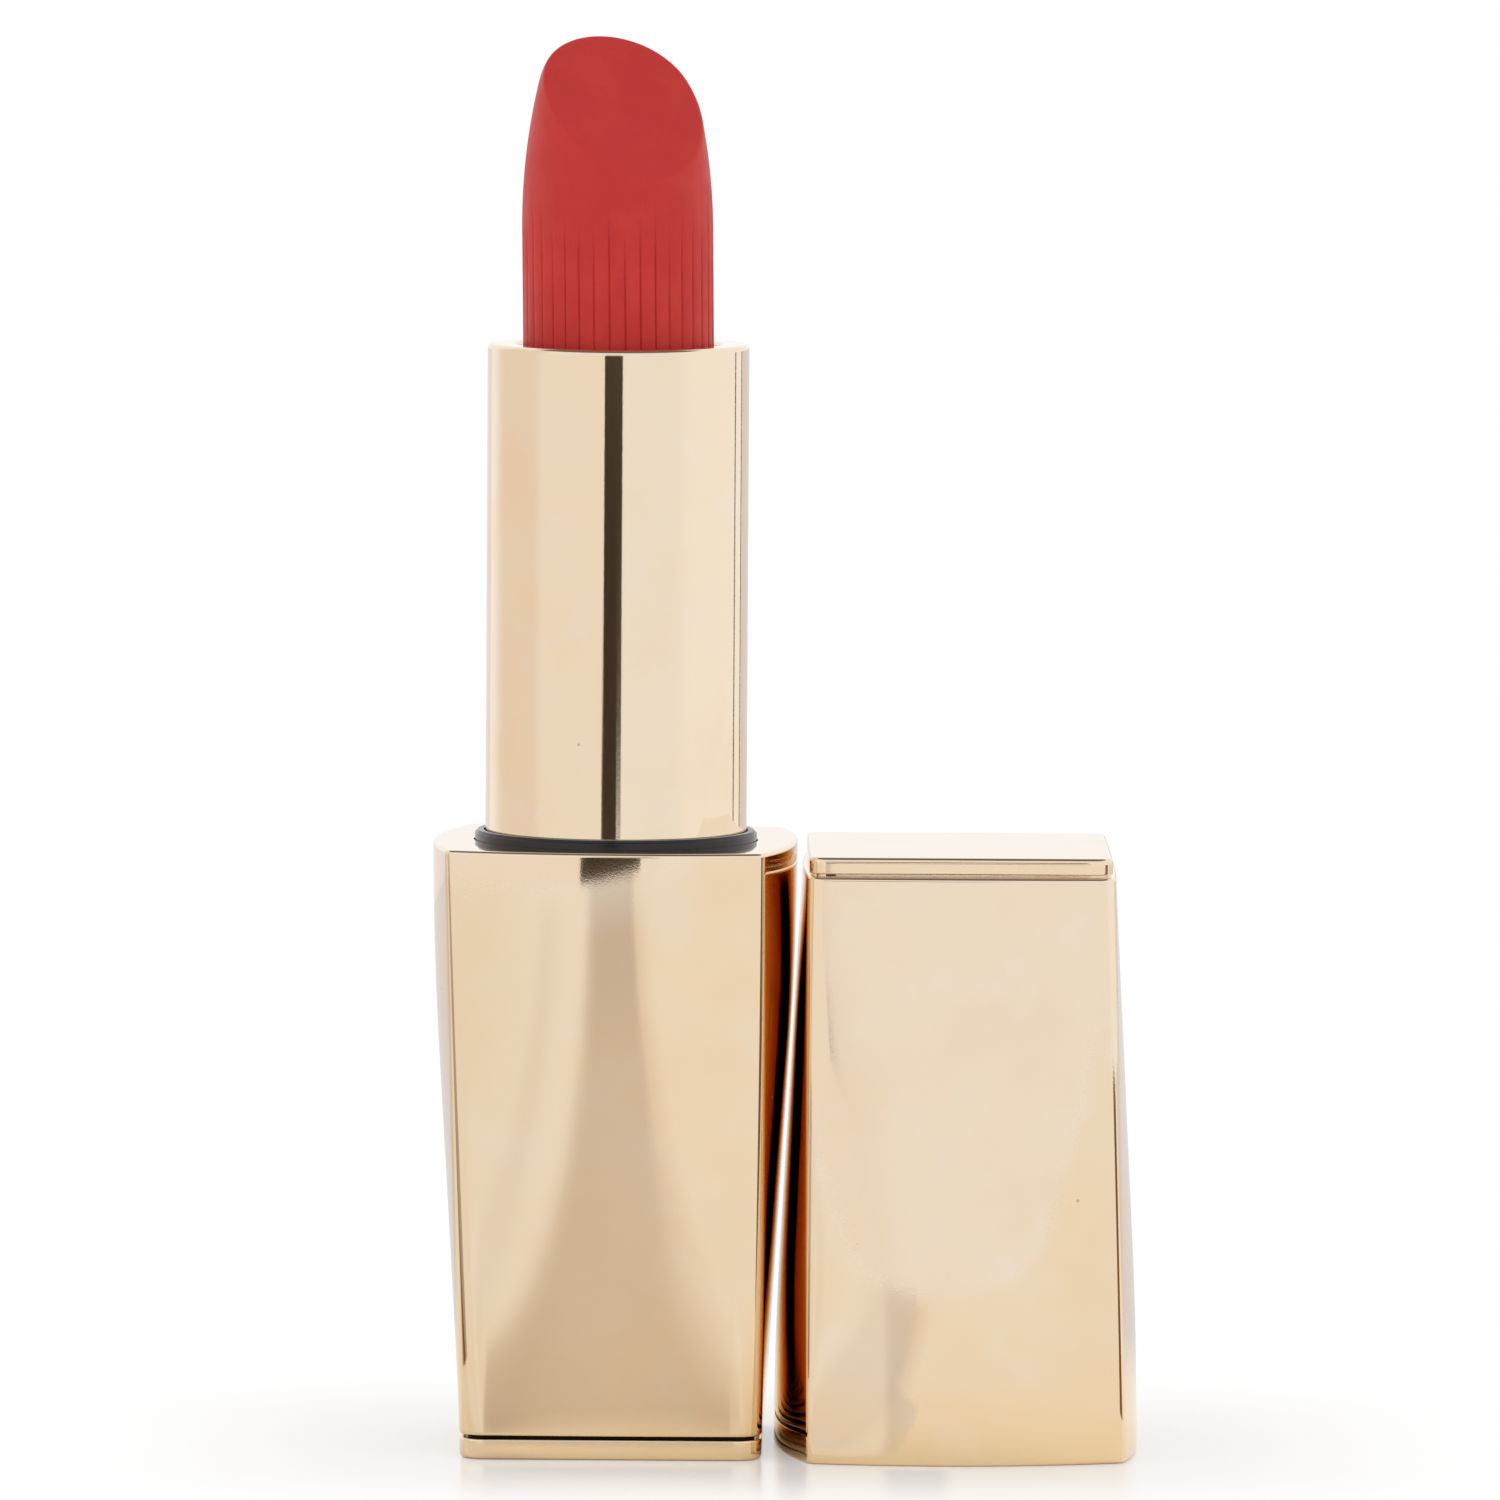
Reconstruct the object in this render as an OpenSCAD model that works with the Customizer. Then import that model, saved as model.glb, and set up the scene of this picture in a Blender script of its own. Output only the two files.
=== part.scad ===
// Lipstick case: a four-sided, slightly twisted case with a refill that winds up,
// and its cap standing beside it on its mouth. Millimetres, Z up.
// The origin is on the floor under the base's axis, and the cap stands at +X.
// The refill sets the sizes: each tube is built outwards from the bullet, the case
// stands around the widest tube, and the sleeve and cap are as tall as the travel asks.

/* [Bullet] */
// Radius of the bullet
bullet_r = 6.05; // [5:0.05:7.5]
// Depth of the lowered bullet's tip, before it is cut, below the top of the sleeve
bullet_sunk = 0.75; // [0.3:0.05:3]
// Slope of the slanted face
slant = 45; // [35:1:55]
// Direction that the slanted face looks towards, about the vertical axis
slant_turn = -67; // [-180:0.1:180]
// Height of the uncut tip over the foot of the slanted face
slant_h = 9.8; // [7:0.1:11]
// Radius of the long curve below the tip
ogive_r = 39.5; // [35:0.5:80]
// Height of that long curve
ogive_h = 9.5; // [6:0.1:12]
// Radius of the rounded tip, at most what the long curve leaves
tip_r = 4.85; // [2:0.05:5]

/* [Refill] */
// Wall of the cup that carries the bullet
cup_wall = 0.33; // [0.25:0.01:0.6]
// Wall of the slotted inner tube
inner_tube_wall = 0.5; // [0.4:0.05:0.8]
// Wall of the helix tube
helix_wall = 0.74; // [0.6:0.02:1.2]
// Wall of the visible sleeve
sleeve_wall = 0.35; // [0.25:0.01:0.6]
// Radius of the rounded lip at the top of the sleeve
lip_r = 0.35; // [0.2:0.05:1]
// Height that one full turn of the sleeve lifts the carrier
lead = 14; // [11:0.5:18]
// Turns of the sleeve from fully down to fully up
rise_turns = 1.5; // [1.25:0.05:1.8]
// Height of the sleeve above the deck, over and above the carrier's travel
sleeve_extra = 10.4; // [9.8:0.1:16]
// Depth of the socket that the refill stands in, below the deck
socket_depth = 17; // [13:0.5:22]

/* [Case] */
// Width of the deck from the collar ring to the middle of each side
deck_ledge = 2.55; // [2.1:0.05:5]
// Rise of each crowned side over the line between its creases, at the seam
side_crown = 1.48; // [1:0.02:1.8]
// Angle through which each half twists from its flat end to the seam
twist = 3.1; // [0:0.1:5]
// Share of each half's height over which the side curves before it runs straight
ease = 0.36; // [0.2:0.02:0.6]
// Wall of the outer shells
shell_wall = 0.7; // [0.5:0.05:0.9]
// Radius of the creases between the sides at the seam
seam_corner_r = 0.7; // [0.4:0.05:1]
// Radius of the shells' edges at the seam and at the far ends
edge_r = 0.3; // [0.1:0.05:0.4]
// Height of the thin groove between a shell and its end plate
groove_h = 0.2; // [0.1:0.05:0.5]
// Depth of that groove
groove_depth = 0.45; // [0.3:0.05:0.6]

/* [Base] */
// Height of the base, from the floor to the deck
base_h = 38.5; // [32:0.5:47]
// Amount that the middle of each side draws in from the seam to the base's lower end
base_taper = 1.86; // [1.4:0.02:1.96]
// Amount that each crease draws in from the seam to the base's lower end
base_crease_taper = 0.5; // [0.3:0.05:0.6]
// Radius of the corners of the base's lower end and of its plate
base_corner_r = 1.6; // [1:0.05:2]
// Thickness of the base plate
base_plate_t = 1.3; // [1:0.1:2]
// Thickness of the deck at the top of the base
deck_t = 0.8; // [0.6:0.1:1.2]
// Turn of the base's lower end about the vertical axis
base_turn = -0.5; // [-5:0.1:5]
// Radius of the label under the base plate
label_r = 6.4; // [4:0.1:7.7]
// Height of the balance weight in the base
weight_h = 13; // [6:0.5:16]

/* [Collar] */
// Wall of the collar ring that centres the cap
collar_wall = 0.56; // [0.45:0.01:0.8]
// Height of the collar ring above the deck
collar_proud = 0.6; // [0.4:0.1:0.9]
// Step around the collar ring's top edge
collar_step = 0.16; // [0.1:0.02:0.3]
// Radius of each corner magnet
magnet_r = 1.2; // [0.9:0.05:1.25]
// Thickness of each corner magnet
magnet_t = 1.7; // [1:0.1:2.1]

/* [Cap] */
// Height of the cap over and above the sleeve that it covers
cap_headroom = 6.8; // [6.5:0.1:12]
// Amount that the middle of each side draws in from the mouth to the cap's top
cap_taper = 1.6; // [1.2:0.02:1.8]
// Amount that each crease draws in from the mouth to the cap's top
cap_crease_taper = 0.35; // [0.2:0.05:0.5]
// Radius of the corners of the cap's top end and of its plate
cap_corner_r = 1.1; // [0.8:0.05:1.5]
// Thickness of the plate on the cap
cap_plate_t = 1.05; // [0.8:0.05:1.4]
// Turn of the cap's top end about the vertical axis
cap_turn = 0.3; // [-5:0.1:5]
// Thickness of the disc weight in the cap
cap_weight_t = 2.7; // [1:0.1:3.3]
// Distance by which the cap's axis stands nearer to the base's than one seam width
cap_nest = 1.22; // [-20:0.02:1.22]

/* [Fits] */
// Radial clearance of a part that turns or slides in another
running_gap = 0.1; // [0.06:0.01:0.1]
// Gap left for glue between two parts that are fixed together
glue_gap = 0.03; // [0.02:0.01:0.06]
// Gap between flat faces that lie over each other
face_gap = 0.1; // [0.05:0.05:0.2]
// Gap between the shells and what is glued into them
shell_gap = 0.15; // [0.12:0.01:0.2]
// Radial clearance of the cap's liner over the sleeve
sleeve_clearance = 0.28; // [0.2:0.02:0.3]

/* [Hidden] */
$fn = 96;
side_steps = 10;
corner_steps = 4;
least_corner_r = 0.15;
wall_steps = 12;

// radii of the refill's pieces, from the bullet outwards
cup_bore_r = bullet_r + 0.07;
cup_r = cup_bore_r + cup_wall;
inner_tube_bore_r = cup_r + running_gap;
inner_tube_r = inner_tube_bore_r + inner_tube_wall;
helix_bore_r = inner_tube_r + running_gap;
helix_r = helix_bore_r + helix_wall;
sleeve_bore_r = helix_r + glue_gap;
sleeve_r = sleeve_bore_r + sleeve_wall;
lip_bore_r = cup_r + 0.05;
collar_bore_r = sleeve_r + running_gap;
collar_r = collar_bore_r + collar_wall;
collar_seat_gap = 0.07;
collar_seat_r = collar_r + collar_seat_gap;

// half widths of the case, at the middle of a side and at a crease
seam_mid = collar_r + deck_ledge;
seam_crease = seam_mid - side_crown;
base_end_mid = seam_mid - base_taper;
base_end_crease = seam_crease - base_crease_taper;
cap_end_mid = seam_mid - cap_taper;
cap_end_crease = seam_crease - cap_crease_taper;

// levels of the base
base_shell_z = base_plate_t + groove_h;
deck_under_z = base_h - deck_t;
magnet_floor_t = 0.5;
socket_flange_t = magnet_t + magnet_floor_t;
socket_top_z = deck_under_z - face_gap;
seat_depth = 2;
seat_z = base_h - seat_depth - face_gap;
socket_floor_t = 1.5;
socket_wall = 0.85;
socket_bore_r = inner_tube_r + running_gap;
socket_floor_z = base_h - socket_depth;
plug_t = 1.5;
plug_half = base_end_crease - shell_wall - shell_gap;
weight_z = base_shell_z + plug_t + face_gap;
weight_r = plug_half - 0.65;
label_t = 0.14;
label_recess = label_t + glue_gap;

// corner magnets, midway between the collar's seat and the corner of the flange
flange_corner = (seam_crease - shell_wall - shell_gap) * sqrt(2);
magnet_reach = (collar_seat_r + flange_corner) / 2;

// the carrier's travel, and the levels of the sleeve
travel = lead * rise_turns;
sleeve_h = travel + sleeve_extra;
sleeve_top_z = base_h + sleeve_h;
refill_flange_t = 0.75;
refill_flange_z = seat_z + face_gap / 2;
sleeve_z = refill_flange_z + refill_flange_t + 2 * face_gap;
lip_t = 0.5;
lip_bore_edge = 0.25;
helix_top_z = sleeve_top_z - lip_t - 1.2;
inner_tube_top_z = sleeve_top_z - lip_t - 0.3;

// the carrier, its lugs and the helical grooves
lug_r = 0.65;
lug_gap = 0.15;
lug_tip_r = helix_bore_r + 0.35;
lug_z = sleeve_top_z - 8.1;
lug_low_z = lug_z - travel;
groove_r = helix_r - 0.2;
groove_half = lug_r / cos(atan(lead / (2 * PI * helix_bore_r))) + lug_gap;
groove_steps_a_turn = 24;
helix_z = lug_low_z - groove_half - 0.3;
cup_floor_t = 1;
cup_z = lug_z - lug_r - 0.75;
cup_h = 8.3;
bullet_z = cup_z + cup_floor_t + glue_gap;

// the brake ring fills the space under the helix tube
brake_t = 1.06;
brake_z = helix_z - face_gap - brake_t;

// the foot that the refill stands on in its socket
foot_z = socket_floor_z + face_gap;
foot_h = 5.6;
spigot_h = 2.6;
grip_r = 0.3;
grip_z = foot_z + 2.4;
inner_tube_z = foot_z + foot_h + face_gap / 2;

// the bullet's profile
bullet_top_z = sleeve_top_z + travel - bullet_sunk;
ogive_end_a = asin(ogive_h / ogive_r);
ogive_end_r = bullet_r - ogive_r * (1 - cos(ogive_end_a));
tip_arc_r = min(tip_r, 0.98 * ogive_end_r / cos(ogive_end_a));
tip_centre_r = ogive_end_r - tip_arc_r * cos(ogive_end_a);
tip_centre_z = bullet_top_z - tip_arc_r;
ogive_z = tip_centre_z + tip_arc_r * sin(ogive_end_a) - ogive_h;
slant_foot_z = bullet_top_z - slant_h;

// levels of the cap
cap_x = 2 * seam_mid - cap_nest;
cap_h = sleeve_h + cap_headroom;
cap_shell_top_z = cap_h - cap_plate_t - groove_h;
cap_ceiling_t = 0.6;
cap_ceiling_z = cap_shell_top_z - cap_ceiling_t;
liner_z = 0.25;
liner_ceiling_t = 0.8;
liner_top_z = cap_ceiling_z - cap_weight_t - 2 * face_gap;
liner_bore_r = sleeve_r + sleeve_clearance;
liner_r = cap_end_mid - shell_wall + 0.02;
liner_collar_r = collar_r + running_gap;
liner_collar_h = collar_proud + 0.5;

// the square plates on both ends
plate_inset = 0.1;

// One half of the case as a record: seam height, end height, half widths at the end,
// turn at the seam and at the end, corner radius at the end.
BASE = [base_h, base_shell_z, base_end_mid, base_end_crease, base_turn - twist, base_turn, base_corner_r];
CAP = [0, cap_shell_top_z, cap_end_mid, cap_end_crease, cap_turn + twist, cap_turn, cap_corner_r];

// Share of the way from the seam's width to the end's width at share t of the height:
// a parabola over the eased stretch and a straight line after it.
function taper(t) =
    let (k = 1 / (1 - ease / 2))
    t < ease ? k * t * t / (2 * ease) : k * (t - ease / 2);

function mix(a, b, t) = a + (b - a) * t;

// A side is a parabola between two creases, x = crease * s and y = mid - (mid - crease) * s * s.
// A corner is an arc that leaves the side at share s, with its centre on the diagonal.
function side_slope(mid, crease, s) = 2 * (mid - crease) * s / crease;
function side_point(mid, crease, s) = [crease * s, mix(mid, crease, s * s)];
function corner_centre(mid, crease, r, s) =
    let (a = atan(side_slope(mid, crease, s)))
    side_point(mid, crease, s) - r * [sin(a), cos(a)];

// Share s at which the corner's arc starts, found by halving an interval.
function corner_start(mid, crease, r, low = 0.5, high = 1, halvings = 16) =
    let (s = (low + high) / 2, centre = corner_centre(mid, crease, r, s))
    halvings == 0 ? s
        : centre[0] > centre[1] ? corner_start(mid, crease, r, low, s, halvings - 1)
        : corner_start(mid, crease, r, s, high, halvings - 1);

// One side and the corner after it, seen from the side's own middle.
function side_and_corner(mid, crease, r) =
    let (
        s_end = corner_start(mid, crease, r),
        centre = corner_centre(mid, crease, r, s_end),
        a_end = atan(side_slope(mid, crease, s_end))
    )
    concat(
        [for (i = [0:side_steps]) side_point(mid, crease, s_end * (2 * i / side_steps - 1))],
        [for (i = [1:corner_steps - 1])
            let (a = mix(a_end, 90 - a_end, i / corner_steps))
            centre + r * [sin(a), cos(a)]]
    );

// Section of a half at height z, its walls moved inwards by inset: a square with four
// crowned sides and round corners.
function section(half, z, inset) =
    let (
        t = (half[0] - z) / (half[0] - half[1]),
        mid = mix(seam_mid, half[2], taper(t)) - inset,
        crease = mix(seam_crease, half[3], t) - inset,
        turn = mix(half[4], half[5], t),
        r = max(mix(seam_corner_r, half[6], t) - inset, least_corner_r),
        quarter = side_and_corner(mid, crease, r)
    )
    [for (side = [0:3], p = quarter)
        let (a = turn + 90 * side)
        [p[0] * cos(a) + p[1] * sin(a), p[0] * sin(a) - p[1] * cos(a)]
    ];

// Solid between a list of rings with as many points each, closed at both ends.
module ring_stack(rings) {
    n = len(rings[0]);
    last = len(rings) - 1;
    points = [for (ring = rings) each ring];
    walls = [for (r = [0:last - 1], i = [0:n - 1])
        let (j = (i + 1) % n, a = r * n + i, b = r * n + j)
        each [[a, a + n, b + n], [a, b + n, b]]
    ];
    ends = [[for (i = [0:n - 1]) i], [for (i = [n - 1:-1:0]) last * n + i]];
    polyhedron(points, concat(ends, walls));
}

// Outer shell of a half, open below: down its inside from the ceiling, out over the
// lower edge and up its outside, with both outer edges rounded.
module half_shell(half, low_z, ceiling_z, top_z) {
    inner = [for (i = [0:wall_steps]) [mix(ceiling_z, low_z, i / wall_steps), shell_wall]];
    low_edge = [for (a = [0:30:60]) [low_z + edge_r * (1 - cos(a)), edge_r * (1 - sin(a))]];
    outer = [for (i = [0:wall_steps]) [mix(low_z + edge_r, top_z - edge_r, i / wall_steps), 0]];
    top_edge = [for (a = [60:-30:0]) [top_z - edge_r * (1 - cos(a)), edge_r * (1 - sin(a))]];
    path = concat(inner, low_edge, outer, top_edge);
    ring_stack([for (p = path) [for (q = section(half, p[0], p[1])) [q[0], q[1], p[0]]]]);
}

// Square with round corners, centred on the axis.
module rounded_square(width, r) {
    square([width, width - 2 * r], center = true);
    square([width - 2 * r, width], center = true);
    for (x = [-1, 1], y = [-1, 1])
        translate([x, y] * (width / 2 - r)) circle(r);
}

module slab(width, r, z, h) {
    translate([0, 0, z]) linear_extrude(h) rounded_square(width, r);
}

module disc(r, z, h) {
    translate([0, 0, z]) cylinder(r = r, h = h);
}

// Ring made by turning a rectangle about the axis.
module band(r, bore_r, z, h) {
    rotate_extrude() translate([bore_r, z]) square([r - bore_r, h]);
}

// One disc at each corner of a square turned by an angle.
module at_corners(turn) {
    for (side = [0:3]) rotate(turn + 45 + 90 * side) translate([magnet_reach, 0, 0]) children();
}

// Flange that fills a half's section near the seam.
module seam_flange(half, z, h) {
    translate([0, 0, z]) linear_extrude(h)
        polygon(section(half, z + h / 2, shell_wall + shell_gap));
}

module base_shell() {
    color("#d9bf9c") difference() {
        half_shell(BASE, base_shell_z, deck_under_z, base_h);
        disc(collar_seat_r, deck_under_z - 1, deck_t + 2);
    }
}

module base_plate() {
    width = 2 * (base_end_mid - plate_inset);
    color("#d4b994") rotate(base_turn) difference() {
        union() {
            slab(width, base_corner_r, 0, base_plate_t);
            slab(width - 2 * groove_depth, base_corner_r - groove_depth, base_plate_t, groove_h);
            slab(2 * plug_half, base_corner_r - groove_depth, base_shell_z, plug_t);
        }
        disc(label_r + face_gap, -1, label_recess + 1);
    }
}

module shade_label() {
    color("#ece7df") disc(label_r, 0, label_t);
}

module base_weight() {
    color("#8d9094") disc(weight_r, weight_z, weight_h);
}

module base_socket() {
    seam_turn = base_turn - twist;
    color("#3a3c42") difference() {
        union() {
            seam_flange(BASE, socket_top_z - socket_flange_t, socket_flange_t);
            disc(socket_bore_r + socket_wall, socket_floor_z - socket_floor_t,
                socket_top_z - socket_floor_z + socket_floor_t - 0.2);
        }
        disc(socket_bore_r, socket_floor_z, socket_depth);
        disc(collar_seat_r, seat_z, seat_depth);
        at_corners(seam_turn) disc(magnet_r + face_gap / 2, socket_top_z - magnet_t - face_gap / 2, magnet_t + 1);
    }
}

module base_magnets() {
    color("#b9bcc0") at_corners(base_turn - twist) disc(magnet_r, socket_top_z - magnet_t, magnet_t);
}

// Ring with a small step around its top, standing in the socket's seat.
module collar_ring() {
    top_z = base_h + collar_proud;
    low_z = seat_z + face_gap / 2;
    color("#22242b") rotate_extrude() polygon([
        [collar_bore_r, low_z],
        [collar_r, low_z],
        [collar_r, top_z - collar_step],
        [collar_r - collar_step, top_z - collar_step],
        [collar_r - collar_step, top_z],
        [collar_bore_r, top_z]
    ]);
}

// Closed foot with a spigot for the inner tube and a groove for the grip ring.
module refill_foot() {
    color("#e9e6df") difference() {
        union() {
            disc(inner_tube_r, foot_z, foot_h);
            disc(inner_tube_bore_r - glue_gap, foot_z, foot_h + spigot_h);
        }
        grip(grip_r + glue_gap);
    }
}

module grip(r) {
    rotate_extrude() translate([inner_tube_r - grip_r + glue_gap, grip_z]) circle(r, $fn = 32);
}

module grip_ring() {
    color("#4a4a4a") grip(grip_r);
}

// Tube with a flange that stands on the socket's seat, and two straight slots.
module inner_tube() {
    slot_low_z = lug_low_z - lug_r - lug_gap;
    slot_high_z = lug_z + lug_r + lug_gap;
    slot_w = 2 * (lug_r + running_gap);
    color("#e9e6df") difference() {
        union() {
            band(inner_tube_r, inner_tube_bore_r, inner_tube_z, inner_tube_top_z - inner_tube_z);
            band(collar_bore_r - running_gap, inner_tube_bore_r, refill_flange_z, refill_flange_t);
        }
        translate([-inner_tube_r - 1, -slot_w / 2, slot_low_z])
            cube([2 * inner_tube_r + 2, slot_w, slot_high_z - slot_low_z]);
    }
}

module brake_ring() {
    color("#5a5148") band(sleeve_bore_r - running_gap, inner_tube_r + glue_gap, brake_z, brake_t);
}

// Drawn tube whose top turns in over the mechanism with a round shoulder.
module sleeve_shell() {
    shoulder = [for (a = [0:10:90])
        [sleeve_r - lip_r * (1 - cos(a)), sleeve_top_z - lip_r * (1 - sin(a))]];
    bore_edge = [for (a = [0:15:90])
        [lip_bore_r + lip_bore_edge * (1 - sin(a)), sleeve_top_z - lip_bore_edge * (1 - cos(a))]];
    color("#dcc3a1") rotate_extrude() polygon(concat(
        [[sleeve_bore_r, sleeve_z], [sleeve_r, sleeve_z]],
        shoulder,
        bore_edge,
        [[lip_bore_r, sleeve_top_z - lip_t], [sleeve_bore_r, sleeve_top_z - lip_t]]
    ));
}

// One helical groove, swept as a rectangle that sinks by one lead in each turn.
module helix_groove(start_a) {
    over = lug_gap / lead * 360;
    steps = ceil(rise_turns * groove_steps_a_turn);
    in_r = helix_bore_r - 0.25;
    rings = [for (i = [0:steps])
        let (a = mix(-over, 360 * rise_turns + over, i / steps), z = lug_z - lead * a / 360)
        [for (p = [[in_r, -1], [in_r, 1], [groove_r, 1], [groove_r, -1]])
            [p[0] * cos(a + start_a), p[0] * sin(a + start_a), z + p[1] * groove_half]]
    ];
    ring_stack(rings);
}

module helix_tube() {
    color("#e4e0d8") difference() {
        band(helix_r, helix_bore_r, helix_z, helix_top_z - helix_z);
        helix_groove(0);
        helix_groove(180);
        for (z = [lug_z, lug_low_z]) lugs(z, lug_r + lug_gap, groove_r);
    }
}

// Two round lugs that stand out to either side along X.
module lugs(z, r, reach) {
    translate([0, 0, z]) rotate([0, 90, 0]) translate([0, 0, -reach])
        cylinder(r = r, h = 2 * reach, $fn = 32);
}

module carrier_cup() {
    color("#e9e6df") difference() {
        union() {
            disc(cup_r, cup_z, cup_h);
            lugs(lug_z, lug_r, lug_tip_r);
        }
        disc(cup_bore_r, cup_z + cup_floor_t, cup_h);
    }
}

// Turned stick with a long curve into a round tip, cut by one slanted face.
module bullet() {
    ogive = [for (i = [0:8])
        let (a = ogive_end_a * i / 8)
        [bullet_r - ogive_r * (1 - cos(a)), ogive_z + ogive_r * sin(a)]];
    tip = [for (i = [1:8])
        let (a = mix(ogive_end_a, 90, i / 8))
        [tip_centre_r + tip_arc_r * cos(a), tip_centre_z + tip_arc_r * sin(a)]];
    color("#b83a35") difference() {
        rotate_extrude() polygon(concat(
            [[0, bullet_z], [bullet_r, bullet_z]], ogive, tip, [[0, bullet_top_z]]));
        rotate(slant_turn) translate([bullet_r, 0, slant_foot_z]) rotate([0, slant, 0])
            translate([-5 * bullet_r, -2 * bullet_r, 0]) cube([8 * bullet_r, 4 * bullet_r, 4 * bullet_r]);
    }
}

module on_cap_axis() {
    translate([cap_x, 0, 0]) children();
}

module cap_shell() {
    color("#d9bf9c") on_cap_axis() half_shell(CAP, 0, cap_ceiling_z, cap_shell_top_z);
}

module cap_top_plate() {
    width = 2 * (cap_end_crease - plate_inset);
    color("#d4b994") on_cap_axis() rotate(cap_turn) {
        slab(width, cap_corner_r, cap_h - cap_plate_t, cap_plate_t);
        slab(width - 2 * groove_depth, cap_corner_r - groove_depth, cap_shell_top_z, groove_h);
    }
}

module cap_weight() {
    color("#8d9094") on_cap_axis() disc(liner_r - 0.3, liner_top_z + face_gap, cap_weight_t);
}

// Closed tube with a flange at the mouth, counterbored for the collar ring.
module cap_liner() {
    color("#3a3c42") on_cap_axis() difference() {
        union() {
            disc(liner_r, liner_z, liner_top_z - liner_z);
            seam_flange(CAP, liner_z, socket_flange_t);
        }
        disc(liner_bore_r, liner_z - 1, liner_top_z - liner_ceiling_t - liner_z + 1);
        disc(liner_collar_r, liner_z - 1, liner_collar_h + 1);
        at_corners(cap_turn + twist) disc(magnet_r + face_gap / 2, liner_z - 1, magnet_t + 1 + face_gap);
    }
}

module cap_magnets() {
    color("#b9bcc0") on_cap_axis() at_corners(cap_turn + twist)
        disc(magnet_r, liner_z + face_gap / 2, magnet_t);
}

base_shell();
base_plate();
shade_label();
base_weight();
base_socket();
base_magnets();
collar_ring();
refill_foot();
grip_ring();
inner_tube();
brake_ring();
sleeve_shell();
helix_tube();
carrier_cup();
bullet();
cap_shell();
cap_top_plate();
cap_weight();
cap_liner();
cap_magnets();
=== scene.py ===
"""Looks of a lipstick case: a square, slightly twisted gold case, its refill and its cap.

The refill is wound up and the cap stands beside the case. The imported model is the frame: the
surfaces that show get smooth, dense meshes worked out from a few sizes in millimetres and from the
nodes' own boxes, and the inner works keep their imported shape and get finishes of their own.
"""

import logging
import math
from dataclasses import dataclass, field
from enum import Enum

import bpy
import numpy as np
from mathutils import Matrix, Vector


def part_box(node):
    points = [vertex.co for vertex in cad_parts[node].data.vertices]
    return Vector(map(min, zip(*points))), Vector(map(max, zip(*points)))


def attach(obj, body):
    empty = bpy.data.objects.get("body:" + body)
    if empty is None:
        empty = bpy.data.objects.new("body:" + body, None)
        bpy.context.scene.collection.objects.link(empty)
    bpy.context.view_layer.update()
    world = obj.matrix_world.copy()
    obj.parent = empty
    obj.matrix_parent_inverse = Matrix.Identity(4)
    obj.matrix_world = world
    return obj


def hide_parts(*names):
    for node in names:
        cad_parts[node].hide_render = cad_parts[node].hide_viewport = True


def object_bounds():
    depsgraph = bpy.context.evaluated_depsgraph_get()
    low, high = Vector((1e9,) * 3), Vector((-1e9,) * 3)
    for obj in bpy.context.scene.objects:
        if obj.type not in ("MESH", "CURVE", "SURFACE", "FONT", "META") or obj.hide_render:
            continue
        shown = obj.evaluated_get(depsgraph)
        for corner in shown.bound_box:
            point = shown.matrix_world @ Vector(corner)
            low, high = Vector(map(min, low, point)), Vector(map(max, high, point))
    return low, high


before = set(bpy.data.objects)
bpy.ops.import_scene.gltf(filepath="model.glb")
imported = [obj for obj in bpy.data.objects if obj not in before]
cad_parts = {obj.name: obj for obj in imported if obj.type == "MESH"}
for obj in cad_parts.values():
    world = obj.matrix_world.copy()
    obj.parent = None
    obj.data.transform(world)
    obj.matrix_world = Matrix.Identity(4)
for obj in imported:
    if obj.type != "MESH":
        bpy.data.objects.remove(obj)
CAD_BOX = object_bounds()

MM = 0.001
LOG = logging.getLogger("lipstick_case")


class Slot(Enum):
    """The record's material slots."""

    CASE = "gold_case"
    PLATE = "gold_plate"
    SLEEVE = "gold_sleeve"
    COLLAR = "black_gloss"
    DARK = "dark_plastic"
    WHITE = "white_plastic"
    RUBBER = "grip_rubber"
    STEEL = "steel"
    MAGNET = "magnet"
    LABEL = "label_paper"
    LIP = "lip_colour"


class Body(Enum):
    """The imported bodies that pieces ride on."""

    BASE = "base"
    REFILL = "refill"
    SLEEVE = "sleeve"
    CARRIER = "carrier"
    CAP = "cap"


# ------------------------------------------------------------------------------------------------
# Shapes
# ------------------------------------------------------------------------------------------------


def node_box(node: str) -> tuple[np.ndarray, np.ndarray]:
    """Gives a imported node's box in millimetres.

    Args:
        node: The node's name.

    Returns:
        Its lowest and highest corner.
    """
    low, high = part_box(node)
    return np.array(low) / MM, np.array(high) / MM


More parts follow.
